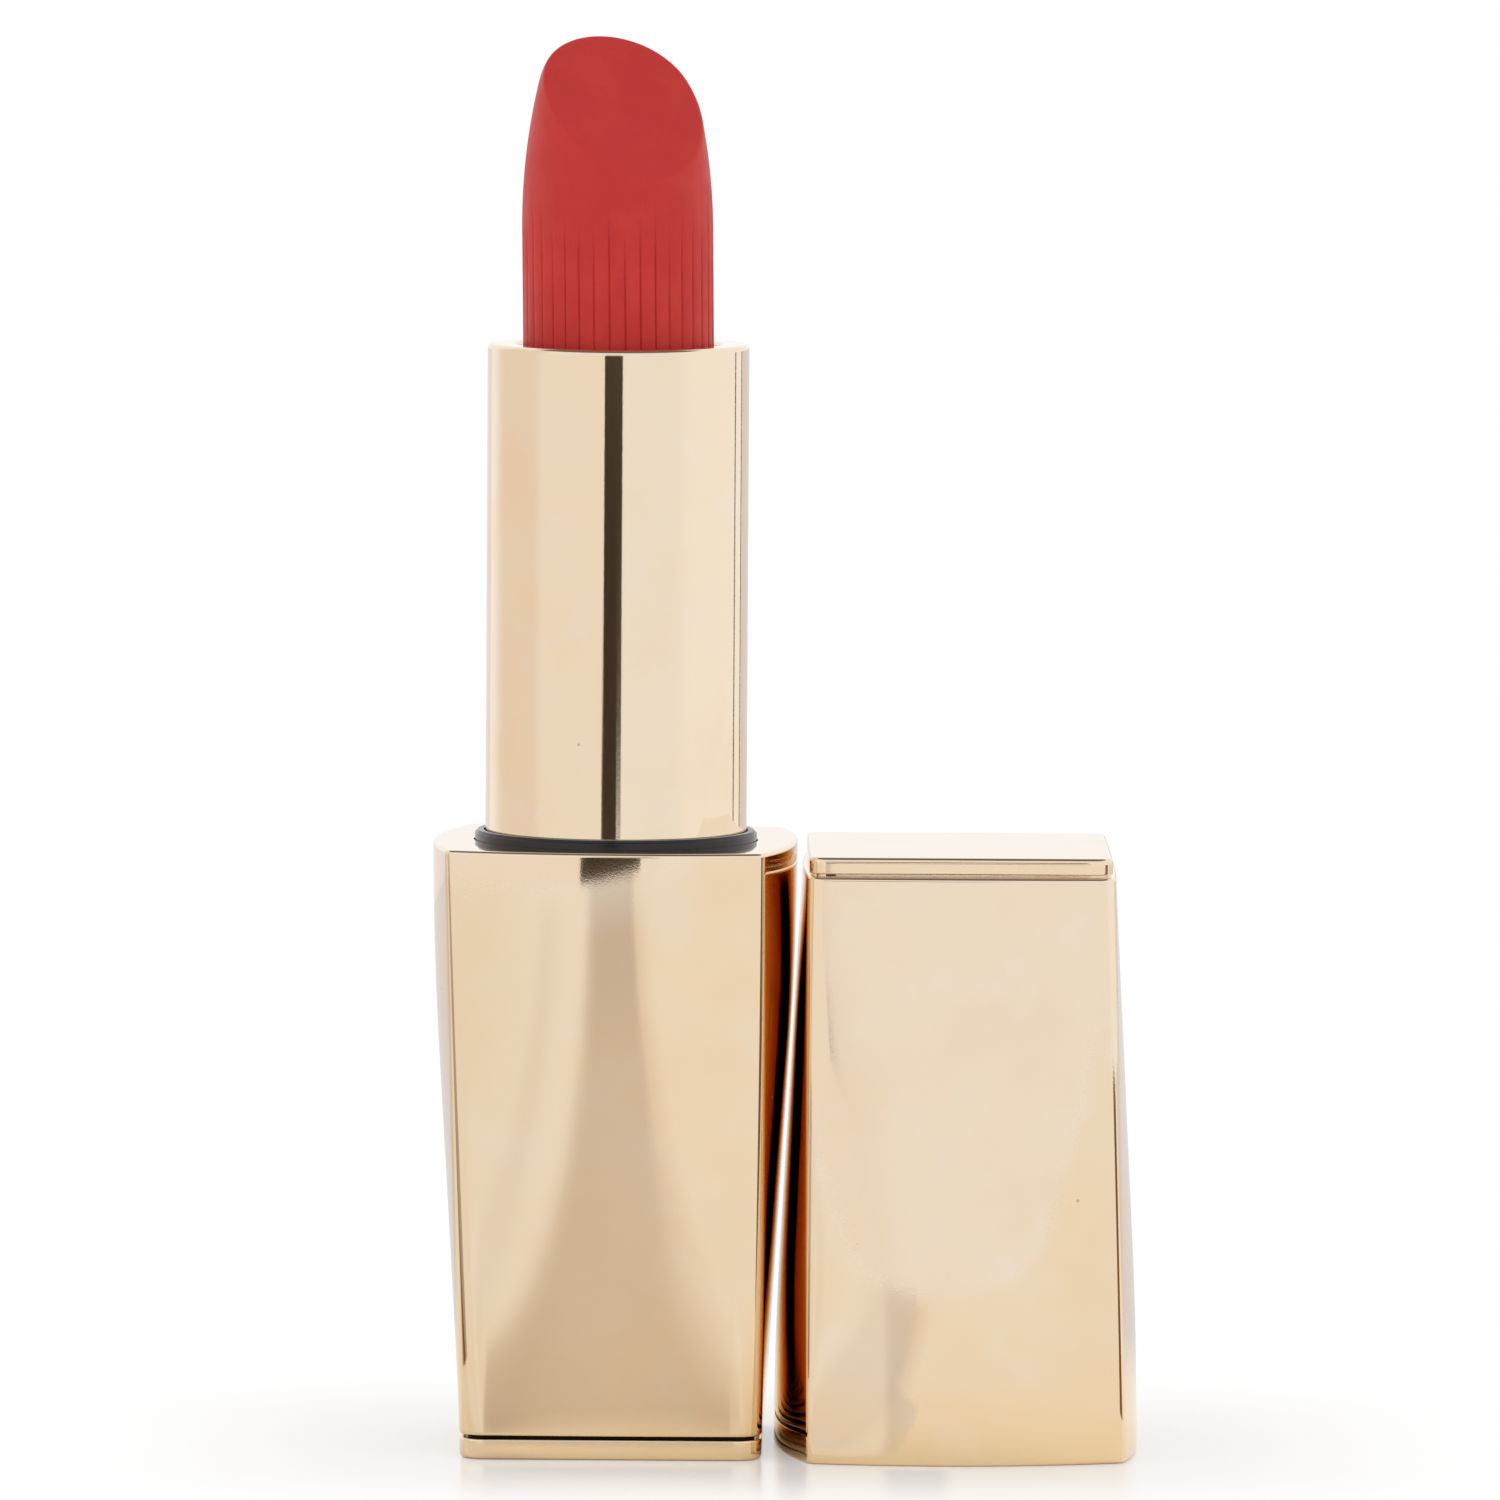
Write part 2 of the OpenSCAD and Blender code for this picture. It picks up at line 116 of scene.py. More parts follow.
def skin(name: str, rings: np.ndarray, wraps: bool = False, first_pole: bool = False,
         last_pole: bool = False, painted_shade: np.ndarray | None = None) -> bpy.types.Object:
    """Makes a smooth mesh from a grid of points that closes round each of its rows.

    Vertex (i, j) is joined to (i, j + 1), (i + 1, j + 1) and (i + 1, j), with j counted round.
    Rows that run anticlockwise about Z and climb face outwards. A pole joins an end row to its own
    mean point.

    Args:
        name: The piece's name.
        rings: Points in millimetres, as rows by columns by 3.
        wraps: Whether the last row joins the first, which makes a tube bent into a ring.
        first_pole: Whether the first row closes to a point.
        last_pole: Whether the last row closes to a point.
        painted_shade: For each row, how much painted shade darkens its finish, from 0 to 1,
        kept as the attribute "painted_shade".

    Returns:
        The new object, at the origin.
    """
    rows, columns, _ = rings.shape
    points = rings.reshape(-1, 3)
    row_steps = rows if wraps else rows - 1
    i, j = np.meshgrid(np.arange(row_steps), np.arange(columns), indexing="ij")
    k = (j + 1) % columns
    above = (i + 1) % rows
    quads = [i * columns + j, i * columns + k, above * columns + k, above * columns + j]
    quads = np.stack(quads, -1).reshape(-1, 4)
    fans = []
    along = np.arange(columns)
    onwards = (along + 1) % columns
    if first_pole:
        points = np.vstack([points, rings[0].mean(0)])
        fans.append(np.stack([np.full(columns, len(points) - 1), onwards, along], -1))
    if last_pole:
        points = np.vstack([points, rings[-1].mean(0)])
        last = (rows - 1) * columns
        fans.append(np.stack([np.full(columns, len(points) - 1), last + along, last + onwards], -1))
    corners = np.concatenate([quads.ravel()] + [fan.ravel() for fan in fans])
    sizes = np.concatenate([np.full(len(quads), 4)] + [np.full(len(fan), 3) for fan in fans])
    mesh = bpy.data.meshes.new(name)
    mesh.vertices.add(len(points))
    mesh.vertices.foreach_set("co", (points * MM).astype(np.float32).ravel())
    mesh.loops.add(len(corners))
    mesh.loops.foreach_set("vertex_index", corners.astype(np.int32))
    mesh.polygons.add(len(sizes))
    mesh.polygons.foreach_set("loop_start", (np.cumsum(sizes) - sizes).astype(np.int32))
    mesh.polygons.foreach_set("use_smooth", np.ones(len(sizes), bool))
    mesh.update(calc_edges=True)
    mesh.validate()
    if painted_shade is not None:
        shares = np.zeros(len(points), np.float32)
        shares[:rows * columns] = np.repeat(painted_shade, columns)
        if last_pole:
            shares[-1] = painted_shade[-1]
        mesh.attributes.new("painted_shade", "FLOAT", "POINT").data.foreach_set("value", shares)
    piece = bpy.data.objects.new(name, mesh)
    bpy.context.scene.collection.objects.link(piece)
    return piece


def arc(start: float, stop: float, steps: int) -> np.ndarray:
    """Gives evenly spaced angles in radians from start to stop degrees, both included."""
    return np.radians(np.linspace(start, stop, steps + 1))


def turned(name: str, profile: np.ndarray, columns: int) -> bpy.types.Object:
    """Turns a closed outline about the vertical axis.

    Point (r, z) becomes (r cos a, r sin a, z) for angles a round the axis.

    Args:
        name: The piece's name.
        profile: Points (radius, height) in millimetres.
        columns: Points round each ring.

    Returns:
        The new object.
    """
    angle = np.linspace(0, 2 * np.pi, columns, endpoint=False)
    r, z = profile[:, :1], profile[:, 1:]
    heights = np.broadcast_to(z, (len(z), columns))
    return skin(name, np.stack([r * np.cos(angle), r * np.sin(angle), heights], -1), wraps=True)


# How far outside a curve its guard point stands, as a share of the cut.
GUARD_SHARE = 0.15


def rounded_path(points: list[tuple[float, float, float]], steps: int = 5,
                 closed: bool = True) -> np.ndarray:
    """Rounds the corners of a path.

    Each corner becomes the quadratic curve S (1 - t)² + 2 C t (1 - t) + E t², from a point S a
    little before the corner C to a point E a little after it. A further point just outside each end
    of a curve keeps the flat stretches between curves evenly shaded.

    Args:
        points: Corners as (x, y, cut), where cut is how far from the corner its curve starts and
            stops.
        steps: Pieces in each curve.
        closed: Whether the path closes on itself.

    Returns:
        The path's points.
    """
    corner = np.array([p[:2] for p in points])
    cut = np.array([p[2] for p in points])
    back = np.roll(corner, 1, 0) - corner
    ahead = np.roll(corner, -1, 0) - corner
    back /= np.maximum(np.linalg.norm(back, axis=1), 1e-9)[:, None]
    ahead /= np.maximum(np.linalg.norm(ahead, axis=1), 1e-9)[:, None]
    t = np.linspace(0, 1, steps + 1)[None, :, None]
    start = (corner + back * cut[:, None])[:, None]
    stop = (corner + ahead * cut[:, None])[:, None]
    curves = start * (1 - t) ** 2 + corner[:, None] * 2 * t * (1 - t) + stop * t * t
    guard = GUARD_SHARE * cut[:, None, None]
    before, after = start + back[:, None] * guard, stop + ahead[:, None] * guard
    curves = np.concatenate([before, curves, after], 1)
    if closed:
        return curves.reshape(-1, 2)
    return np.vstack([corner[:1], curves[1:-1].reshape(-1, 2), corner[-1:]])


# Pieces in a side and in a corner of an outline, and rounds of halving an interval.
SIDE_STEPS = 26
CORNER_STEPS = 8
HALVINGS = 40


def crowned_squares(mid: np.ndarray, crease: np.ndarray, corner: np.ndarray,
                    turn: np.ndarray) -> np.ndarray:
    """Gives outlines of squares with bowed sides and round corners, one a row.

    A side is the parabola x = crease s, y = mid - (mid - crease) s². A corner is an arc of the
    given radius that leaves the side where the centre, found along the side's inward normal, lies
    on the diagonal; the share s where it does is found by halving an interval. Four such quarters
    are turned about the axis.

    Args:
        mid: Half widths at the middle of a side.
        crease: Half widths at the crease between two sides.
        corner: Radii of the corners.
        turn: Angles of the outlines about the axis, in degrees.

    Returns:
        Points as rows by columns by 2, anticlockwise, the first side towards -Y.
    """
    given = (mid, crease, corner, turn)
    mid, crease, corner, turn = (np.asarray(a, float)[:, None] for a in given)
    bow = mid - crease

    def centre_at(s: np.ndarray) -> tuple[np.ndarray, np.ndarray, np.ndarray]:
        """Gives the arc's centre and starting angle for an arc that leaves the side at share s."""
        a = np.arctan(2 * bow * s / crease)
        return crease * s - corner * np.sin(a), mid - bow * s * s - corner * np.cos(a), a

    low, high = np.full_like(mid, 0.5), np.ones_like(mid)
    for _ in range(HALVINGS):
        s = (low + high) / 2
        x, y, _a = centre_at(s)
        low, high = np.where(x > y, low, s), np.where(x > y, s, high)
    x, y, a = centre_at(s)
    share = s * np.linspace(-1, 1, SIDE_STEPS + 1)
    bend = a + (np.pi / 2 - 2 * a) * np.arange(1, CORNER_STEPS) / CORNER_STEPS
    px = np.hstack([crease * share, x + corner * np.sin(bend)])
    py = np.hstack([mid - bow * share ** 2, y + corner * np.cos(bend)])
    quarters = []
    for side in range(4):
        cos, sin = np.cos(np.radians(turn + 90 * side)), np.sin(np.radians(turn + 90 * side))
        quarters.append(np.stack([px * cos + py * sin, px * sin - py * cos], -1))
    return np.concatenate(quarters, 1)


def round_like(outline: np.ndarray, radius: float) -> np.ndarray:
    """Gives a circle whose points lie in the same directions as an outline's, to join the two."""
    return outline / np.linalg.norm(outline, axis=-1, keepdims=True) * radius


def between(first: np.ndarray, second: np.ndarray, shares: np.ndarray) -> np.ndarray:
    """Gives outlines that run straight from one outline to another, one for each share of the way."""
    return first[None] + (second - first)[None] * shares[:, None, None]


def at_height(outlines: np.ndarray, z: np.ndarray | float) -> np.ndarray:
    """Lifts outlines, rows by columns by 2, to heights z."""
    z = np.broadcast_to(np.asarray(z, float).reshape(-1, 1), outlines.shape[:2])
    return np.concatenate([outlines, z[..., None]], -1)


@dataclass
class CaseHalf:
    """One twisted half of the case: how wide, turned and round-cornered it is at each height.

    Sizes are in millimetres. The middle of each side draws in along a parabola over the eased
    stretch next to the seam and straight after it; the creases, the turn and the corners' radius
    change evenly.
    """

    centre_x: float
    seam_z: float
    end_z: float
    seam_turn: float
    end_turn: float
    end_mid: float
    end_crease: float
    end_corner: float
    seam_mid: float = 11.478
    seam_crease: float = 9.998
    seam_corner: float = 0.7
    ease: float = 0.36
    wall: float = 0.7
    edge: float = 0.22
    edge_steps: int = 8
    guard: float = 0.03
    sharpest: float = 0.15

    def outline(self, z: np.ndarray | float, inset: np.ndarray | float = 0.0) -> np.ndarray:
        """Gives the half's outlines.

        Args:
            z: Heights.
            inset: How far the walls are moved inwards at each.

        Returns:
            Points as rows by columns by 2.
        """
        z = np.atleast_1d(np.asarray(z, float))
        z, inset = np.broadcast_arrays(z, np.asarray(inset, float))
        t = (self.seam_z - z) / (self.seam_z - self.end_z)
        k = 1 / (1 - self.ease / 2)
        taper = np.where(t < self.ease, k * t * t / (2 * self.ease), k * (t - self.ease / 2))
        mid = self.seam_mid + (self.end_mid - self.seam_mid) * taper - inset
        crease = self.seam_crease + (self.end_crease - self.seam_crease) * t - inset
        corner = self.seam_corner + (self.end_corner - self.seam_corner) * t - inset
        corner = np.maximum(corner, self.sharpest)
        turn = self.seam_turn + (self.end_turn - self.seam_turn) * t
        return crowned_squares(mid, crease, corner, turn)

    def rings(self, z: np.ndarray | float, inset: np.ndarray | float = 0.0) -> np.ndarray:
        """Gives the half's outlines as points in space about its own axis.

        Args:
            z: Heights.
            inset: How far the walls are moved inwards at each.

        Returns:
            Points as rows by columns by 3.
        """
        z = np.atleast_1d(np.asarray(z, float))
        outlines = self.outline(z, inset)
        return at_height(outlines, np.broadcast_to(z, outlines.shape[:1]))

    def outer_wall(self, low: float, high: float, steps: int = 56) -> np.ndarray:
        """Gives the outside from low to high, with both of its edges rounded.

        Args:
            low: Height of its lower edge.
            high: Height of its upper edge.
            steps: Rows between the two edges.

        Returns:
            Points as rows by columns by 3.
        """
        lower, upper = arc(0, 90, self.edge_steps), arc(90, 0, self.edge_steps)
        past = self.edge + self.guard
        z = [low + self.edge * (1 - np.cos(lower)), np.linspace(low + past, high - past, steps),
             high - self.edge * (1 - np.cos(upper))]
        inset = [self.edge * (1 - np.sin(lower)), np.zeros(steps), self.edge * (1 - np.sin(upper))]
        return self.rings(np.concatenate(z), np.concatenate(inset))

    def inner_wall(self, high: float, low: float, steps: int = 20) -> np.ndarray:
        """Gives the inside, from high down to low."""
        return self.rings(np.linspace(high, low, steps), self.wall)

    def place(self, rings: np.ndarray) -> np.ndarray:
        """Moves points from the half's own axis to where the half stands."""
        return rings + np.array([self.centre_x, 0, 0])


# The least radius of a plate's corner, and the greatest as a share of the half width.
SHARPEST_CORNER = 0.2
ROUNDEST_SHARE = 0.45


def square_plate(half: float, corner: float, turn: float, path: np.ndarray) -> np.ndarray:
    """Gives rings of a flat square plate that follow a path of insets and heights.

    Args:
        half: Half the plate's width.
        corner: Radius of its corners.
        turn: Its turn about the axis, in degrees.
        path: Points (inset, height).

    Returns:
        Points as rows by columns by 3.
    """
    inset, z = path[:, 0], path[:, 1]
    size = half - inset
    rounded = np.minimum(np.maximum(corner - inset, SHARPEST_CORNER), ROUNDEST_SHARE * size)
    outlines = crowned_squares(size, size, rounded, np.full(len(size), turn))
    return at_height(outlines, z)


# ------------------------------------------------------------------------------------------------
# Shader groups that several finishes share
# ------------------------------------------------------------------------------------------------

Colour = tuple[float, float, float]
Sockets = bpy.types.bpy_prop_collection


@dataclass
class Graph:
    """A node tree with short ways to add and join its nodes."""

    tree: bpy.types.NodeTree

    def add(self, kind: str, **settings: object) -> bpy.types.Node:
        """Adds a node of a kind such as "TexNoise" and sets its properties.

        Args:
            kind: The node's kind.
            settings: Its properties, by name.

        Returns:
            The node.
        """
        node = self.tree.nodes.new("ShaderNode" + kind)
        for key, value in settings.items():
            setattr(node, key, value)
        return node

    def join(self, out: bpy.types.NodeSocket, into: bpy.types.NodeSocket) -> None:
        """Links an output to an input."""
        self.tree.links.new(out, into)

    def feed(self, socket: bpy.types.NodeSocket, value: object) -> None:
        """Links an output to a socket, or sets a plain value or colour on it.

        Args:
            socket: The input.
            value: An output, a number or a colour.
        """
        if isinstance(value, bpy.types.NodeSocket):
            self.join(value, socket)
        else:
            socket.default_value = (*value, 1.0) if socket.type == "RGBA" else value

    def math(self, operation: str, *values: object) -> bpy.types.NodeSocket:
        """Adds a Math node and gives its output.

        Args:
            operation: The operation's name.
            values: Numbers or outputs, in order.

        Returns:
            The result.
        """
        node = self.add("Math", operation=operation)
        for socket, value in zip(node.inputs, values):
            self.feed(socket, value)
        return node.outputs[0]

    def fade(self, value: object, low: object, high: object, start: float = 0.0,
             stop: float = 1.0) -> bpy.types.NodeSocket:
        """Adds a smooth Map Range from low..high to start..stop and gives its output.

        Args:
            value: What is mapped.
            low: The value at which the result is start.
            high: The value at which the result is stop.
            start: The first result.
            stop: The last result.

        Returns:
            The result.
        """
        node = self.add("MapRange", interpolation_type="SMOOTHSTEP")
        items = {"Value": value, "From Min": low, "From Max": high, "To Min": start, "To Max": stop}
        for key, item in items.items():
            self.feed(node.inputs[key], item)
        return node.outputs["Result"]

    def mix(self, share: object, first: object, second: object) -> bpy.types.NodeSocket:
        """Mixes two colours and gives the result.

        Args:
            share: How much of the second colour there is.
            first: The first colour.
            second: The second colour.

        Returns:
            The mixed colour.
        """
        node = self.add("Mix", data_type="RGBA")
        self.feed(node.inputs["Factor"], share)
        for key, value in (("A", first), ("B", second)):
            socket = next(s for s in node.inputs if s.name == key and s.type == "RGBA")
            self.feed(socket, value)
        return next(s for s in node.outputs if s.type == "RGBA")

    def attribute(self, name: str) -> bpy.types.NodeSocket:
        """Reads one of the mesh's own attributes, which is 0 where a mesh has none."""
        return self.add("Attribute", attribute_name=name).outputs["Fac"]

    def places(self) -> bpy.types.NodeSocket:
        """Gives the object's own coordinates."""
        return self.add("TexCoord").outputs["Object"]

    def noise(self, where: object, scale: object, detail: float = 2.0,
              roughness: float = 0.5) -> bpy.types.NodeSocket:
        """Adds a Noise texture at given points and gives its value.

        Args:
            where: The points.
            scale: How many waves there are in a metre.
            detail: How many finer layers it has.
            roughness: How strong the finer layers are.

        Returns:
            The noise, from 0 to 1.
        """
        node = self.add("TexNoise")
        self.feed(node.inputs["Vector"], where)
        self.feed(node.inputs["Scale"], scale)
        node.inputs["Detail"].default_value = detail
        node.inputs["Roughness"].default_value = roughness
        return node.outputs[0]


Opened = tuple[Graph, dict[str, bpy.types.NodeSocket], bpy.types.NodeSocket, bpy.types.NodeSocket]


@dataclass
class SharedGroup:
    """A shader node group with named sockets, built once and placed in every material."""

    name: str
    inputs: dict[str, object]
    output: str
    output_kind: str = "NodeSocketFloat"
    tree: bpy.types.NodeTree | None = None

    def start(self) -> Opened:
        """Opens the group for building.

        Returns:
            The graph, the group's input sockets by name, the object's own coordinates, and the
            output socket.
        """
        self.tree = bpy.data.node_groups.new(self.name, "ShaderNodeTree")
        for key, value in self.inputs.items():
            kind = "NodeSocketColor" if isinstance(value, tuple) else "NodeSocketFloat"
            socket = self.tree.interface.new_socket(name=key, in_out="INPUT", socket_type=kind)
            socket.default_value = (*value, 1.0) if isinstance(value, tuple) else value
        self.tree.interface.new_socket(name=self.output, in_out="OUTPUT",
                                       socket_type=self.output_kind)
        graph = Graph(self.tree)
        into = self.tree.nodes.new("NodeGroupInput")
        out = self.tree.nodes.new("NodeGroupOutput")
        return graph, {s.name: s for s in into.outputs if s.name}, graph.places(), out.inputs[0]

    def place(self, graph: Graph, **values: object) -> bpy.types.NodeSocket:
        """Puts the group into a material.

        Args:
            graph: The material's graph.
            values: Plain values or outputs for its inputs, by name, with _ for a space.

        Returns:
            The group's output in that material.
        """
        node = graph.add("Group")
        node.node_tree = self.tree
        for key, value in values.items():
            graph.feed(node.inputs[key.replace("_", " ")], value)
        return node.outputs[0]


class SharedGroups:
    """The effects that more than one finish uses."""

    def __init__(self) -> None:
        """Builds every group."""
        self.cloudy = self._cloudy_tint()
        self.grain = self._fine_grain()
        self.specks = self._dust_specks()
        self.wear = self._edge_wear()
        self.rings = self._turning_marks()

    @staticmethod
    def _cloudy_tint() -> SharedGroup:
        """Soft clouds of a second and a third colour over the first, from two broad noises.

        Returns:
            The group.
        """
        plain = (0.8, 0.6, 0.4)
        inputs = {"Colour": plain, "Warm": plain, "Cool": plain, "Scale": 120.0}
        group = SharedGroup("Cloudy Tint", inputs, "Colour", "NodeSocketColor")
        graph, given, where, out = group.start()
        warm = graph.fade(graph.noise(where, given["Scale"], 3.0), 0.45, 0.7)
        other = graph.add("VectorMath", operation="ADD")
        graph.join(where, other.inputs[0])
        other.inputs[1].default_value = (0.37, 0.11, 0.23)
        finer = graph.math("MULTIPLY", given["Scale"], 1.7)
        cool = graph.fade(graph.noise(other.outputs[0], finer, 2.0), 0.5, 0.75)
        tinted = graph.mix(warm, given["Colour"], given["Warm"])
        graph.join(graph.mix(cool, tinted, given["Cool"]), out)
        return group

    @staticmethod
    def _fine_grain() -> SharedGroup:
        """A height that adds a broad ripple and a fine grain, each with its own size and depth.

        Returns:
            The group.
        """
        inputs = {"Ripple Scale": 300.0, "Ripple": 0.5, "Grain Scale": 9000.0, "Grain": 0.5}
        group = SharedGroup("Fine Grain", inputs, "Height")
        graph, given, where, out = group.start()
        ripple = graph.noise(where, given["Ripple Scale"], 1.0)
        grain = graph.noise(where, given["Grain Scale"], 1.0, 0.6)
        ripple = graph.math("MULTIPLY", ripple, given["Ripple"])
        grain = graph.math("MULTIPLY", grain, given["Grain"])
        graph.join(graph.math("ADD", ripple, grain), out)
        return group

    @staticmethod
    def _dust_specks() -> SharedGroup:
        """A mask of sparse, tiny round specks: the middles of cells whose own number is low.

        Returns:
            The group.
        """
        group = SharedGroup("Dust Specks", {"Scale": 900.0, "Share": 0.03, "Size": 0.22}, "Mask")
        graph, given, where, out = group.start()
        cells = graph.add("TexVoronoi", feature="F1", distance="EUCLIDEAN")
        graph.join(where, cells.inputs["Vector"])
        graph.join(given["Scale"], cells.inputs["Scale"])
        chosen = graph.add("SeparateColor")
        graph.join(cells.outputs["Color"], chosen.inputs[0])
        few = graph.math("LESS_THAN", chosen.outputs[0], given["Share"])
        size = graph.math("MULTIPLY", given["Size"], graph.math("ADD", chosen.outputs[1], 0.3))
        near = graph.math("LESS_THAN", cells.outputs["Distance"], size)
        graph.join(graph.math("MULTIPLY", few, near), out)
        return group

    @staticmethod
    def _edge_wear() -> SharedGroup:
        """A mask of rubbed edges: where the surface is convex, broken up by a noise.

        Returns:
            The group.
        """
        group = SharedGroup("Edge Wear", {"Start": 0.52, "Full": 0.6, "Scale": 700.0}, "Mask")
        graph, given, where, out = group.start()
        pointed = graph.add("NewGeometry").outputs["Pointiness"]
        edge = graph.fade(pointed, given["Start"], given["Full"])
        broken = graph.fade(graph.noise(where, given["Scale"], 3.0), 0.35, 0.6)
        graph.join(graph.math("MULTIPLY", edge, broken), out)
        return group

    @staticmethod
    def _turning_marks() -> SharedGroup:
        """A height with fine rings about the vertical axis, from a noise of radius and height.

        Returns:
            The group.
        """
        group = SharedGroup("Turning Marks", {"Scale": 5000.0, "Depth": 1.0}, "Height")
        graph, given, where, out = group.start()
        apart = graph.add("SeparateXYZ")
        graph.join(where, apart.inputs[0])
        squares = [graph.math("POWER", apart.outputs[axis], 2.0) for axis in (0, 1)]
        radius = graph.math("SQRT", graph.math("ADD", *squares))
        along = graph.add("CombineXYZ")
        graph.join(radius, along.inputs[0])
        graph.join(apart.outputs[2], along.inputs[1])
        marks = graph.noise(along.outputs[0], given["Scale"], 2.0)
        graph.join(graph.math("MULTIPLY", marks, given["Depth"]), out)
        return group


# ------------------------------------------------------------------------------------------------
# Finishes
# ------------------------------------------------------------------------------------------------


def start_material(name: str) -> tuple[bpy.types.Material, Graph, bpy.types.Node]:
    """Makes a material with a Principled shader.

    Args:
        name: The material's name.

    Returns:
        The material, its graph and the Principled node.
    """
    material = bpy.data.materials.new(name)
    material.use_nodes = True
    graph = Graph(material.node_tree)
    shader = next(n for n in material.node_tree.nodes if n.type == "BSDF_PRINCIPLED")
    return material, graph, shader


def bump(graph: Graph, shader: bpy.types.Node, height: bpy.types.NodeSocket, depth: float) -> None:
    """Feeds a height through a Bump node into a shader's Normal.

    Args:
        graph: The material's graph.
        shader: Its Principled node.
        height: The height, from 0 to 1.
        depth: The height's full depth in metres.
    """
    node = graph.add("Bump")
    node.inputs["Distance"].default_value = depth
    node.inputs["Strength"].default_value = 1.0
    graph.join(height, node.inputs["Height"])
    graph.join(node.outputs[0], shader.inputs["Normal"])


@dataclass(frozen=True)
class Relief:
    """A broad ripple and a fine grain: the scale and the share of each, and their depth in metres."""

    ripple_scale: float
    ripple: float
    grain_scale: float
    grain: float
    depth: float

    def press(self, graph: Graph, shader: bpy.types.Node, groups: SharedGroups) -> None:
        """Presses the relief into a shader's Normal.

        Args:
            graph: The material's graph.
            shader: Its Principled node.
            groups: The shared node groups.
        """
        height = groups.grain.place(graph, Ripple_Scale=self.ripple_scale, Ripple=self.ripple,
                                    Grain_Scale=self.grain_scale, Grain=self.grain)
        bump(graph, shader, height, self.depth)


@dataclass(frozen=True)
class Smear:
    """A soft noise that spreads the roughness, from less than its mean to more than it."""

    scale: float
    start: float
    stop: float
    less: float
    more: float

    def spread(self, graph: Graph, shader: bpy.types.Node, mean: float) -> None:
        """Feeds the smeared roughness into a shader.

        Args:
            graph: The material's graph.
            shader: Its Principled node.
            mean: The mean roughness.
        """
        cloud = graph.noise(graph.places(), self.scale, 3.0)
        rough = graph.fade(cloud, self.start, self.stop, mean - self.less, mean + self.more)
        graph.join(rough, shader.inputs["Roughness"])


@dataclass(frozen=True)
class MirrorGold:
    """Champagne gold plating with a mirror polish: faint clouds, a slow ripple, grain and dust."""

    name: str
    colour: Colour = (0.89, 0.735, 0.56)
    warm: Colour = (0.89, 0.715, 0.525)
    cool: Colour = (0.885, 0.75, 0.6)
    dust: Colour = (0.6, 0.46, 0.31)
    rubbed: Colour = (0.9, 0.79, 0.6)
    # Painted shade: the near-black colour painted into the plates' grooves.
    painted_groove_shade: Colour = (0.012, 0.009, 0.006)
    roughness: float = 0.045
    rubbed_roughness: float = 0.06
    dust_roughness: float = 0.3
    speck_share: float = 0.006
    wear_share: float = 0.35
    ripple: float = 0.35
    grain: float = 0.02

    def make(self, groups: SharedGroups) -> bpy.types.Material:
        """Builds the material.

        Args:
            groups: The shared node groups.

        Returns:
            The material.
        """
        material, graph, shader = start_material(self.name)
        tint = groups.cloudy.place(graph, Colour=self.colour, Warm=self.warm, Cool=self.cool,
                                   Scale=130.0)
        specks = groups.specks.place(graph, Scale=1300.0, Share=self.speck_share, Size=0.12)
        wear = groups.wear.place(graph, Start=0.55, Full=0.72, Scale=900.0)
        dusty = graph.mix(specks, tint, self.dust)
        worn = graph.mix(graph.math("MULTIPLY", wear, self.wear_share), dusty, self.rubbed)
        # Painted shade in the grooves, where the mesh's attribute asks for it.
        shaded = graph.mix(graph.attribute("painted_shade"), worn, self.painted_groove_shade)
        graph.join(shaded, shader.inputs["Base Color"])
        rough = graph.math("MULTIPLY_ADD", wear, self.rubbed_roughness, self.roughness)
        rough = graph.math("MULTIPLY_ADD", specks, self.dust_roughness, rough)
        graph.join(rough, shader.inputs["Roughness"])
        shader.inputs["Metallic"].default_value = 1.0
        relief = Relief(ripple_scale=170.0, ripple=self.ripple, grain_scale=9000.0,
                        grain=self.grain, depth=0.00002)
        relief.press(graph, shader, groups)
        return material


@dataclass(frozen=True)
class BlackGloss:
    """Polished black ring: a clear gloss over near-black, with faint handling marks."""

    name: str
    colour: Colour = (0.006, 0.0045, 0.009)
    rubbed: Colour = (0.02, 0.02, 0.023)
    roughness: float = 0.24
    smear: Smear = Smear(scale=600.0, start=0.3, stop=0.8, less=0.06, more=0.06)
    relief: Relief = Relief(ripple_scale=500.0, ripple=0.3, grain_scale=8000.0, grain=0.05,
                            depth=0.00002)

    def make(self, groups: SharedGroups) -> bpy.types.Material:
        """Builds the material.

        Args:
            groups: The shared node groups.

        Returns:
            The material.
        """
        material, graph, shader = start_material(self.name)
        wear = groups.wear.place(graph, Start=0.55, Full=0.7, Scale=1500.0)
        graph.join(graph.mix(wear, self.colour, self.rubbed), shader.inputs["Base Color"])
        self.smear.spread(graph, shader, self.roughness)
        shader.inputs["IOR"].default_value = 1.5
        self.relief.press(graph, shader, groups)
        return material


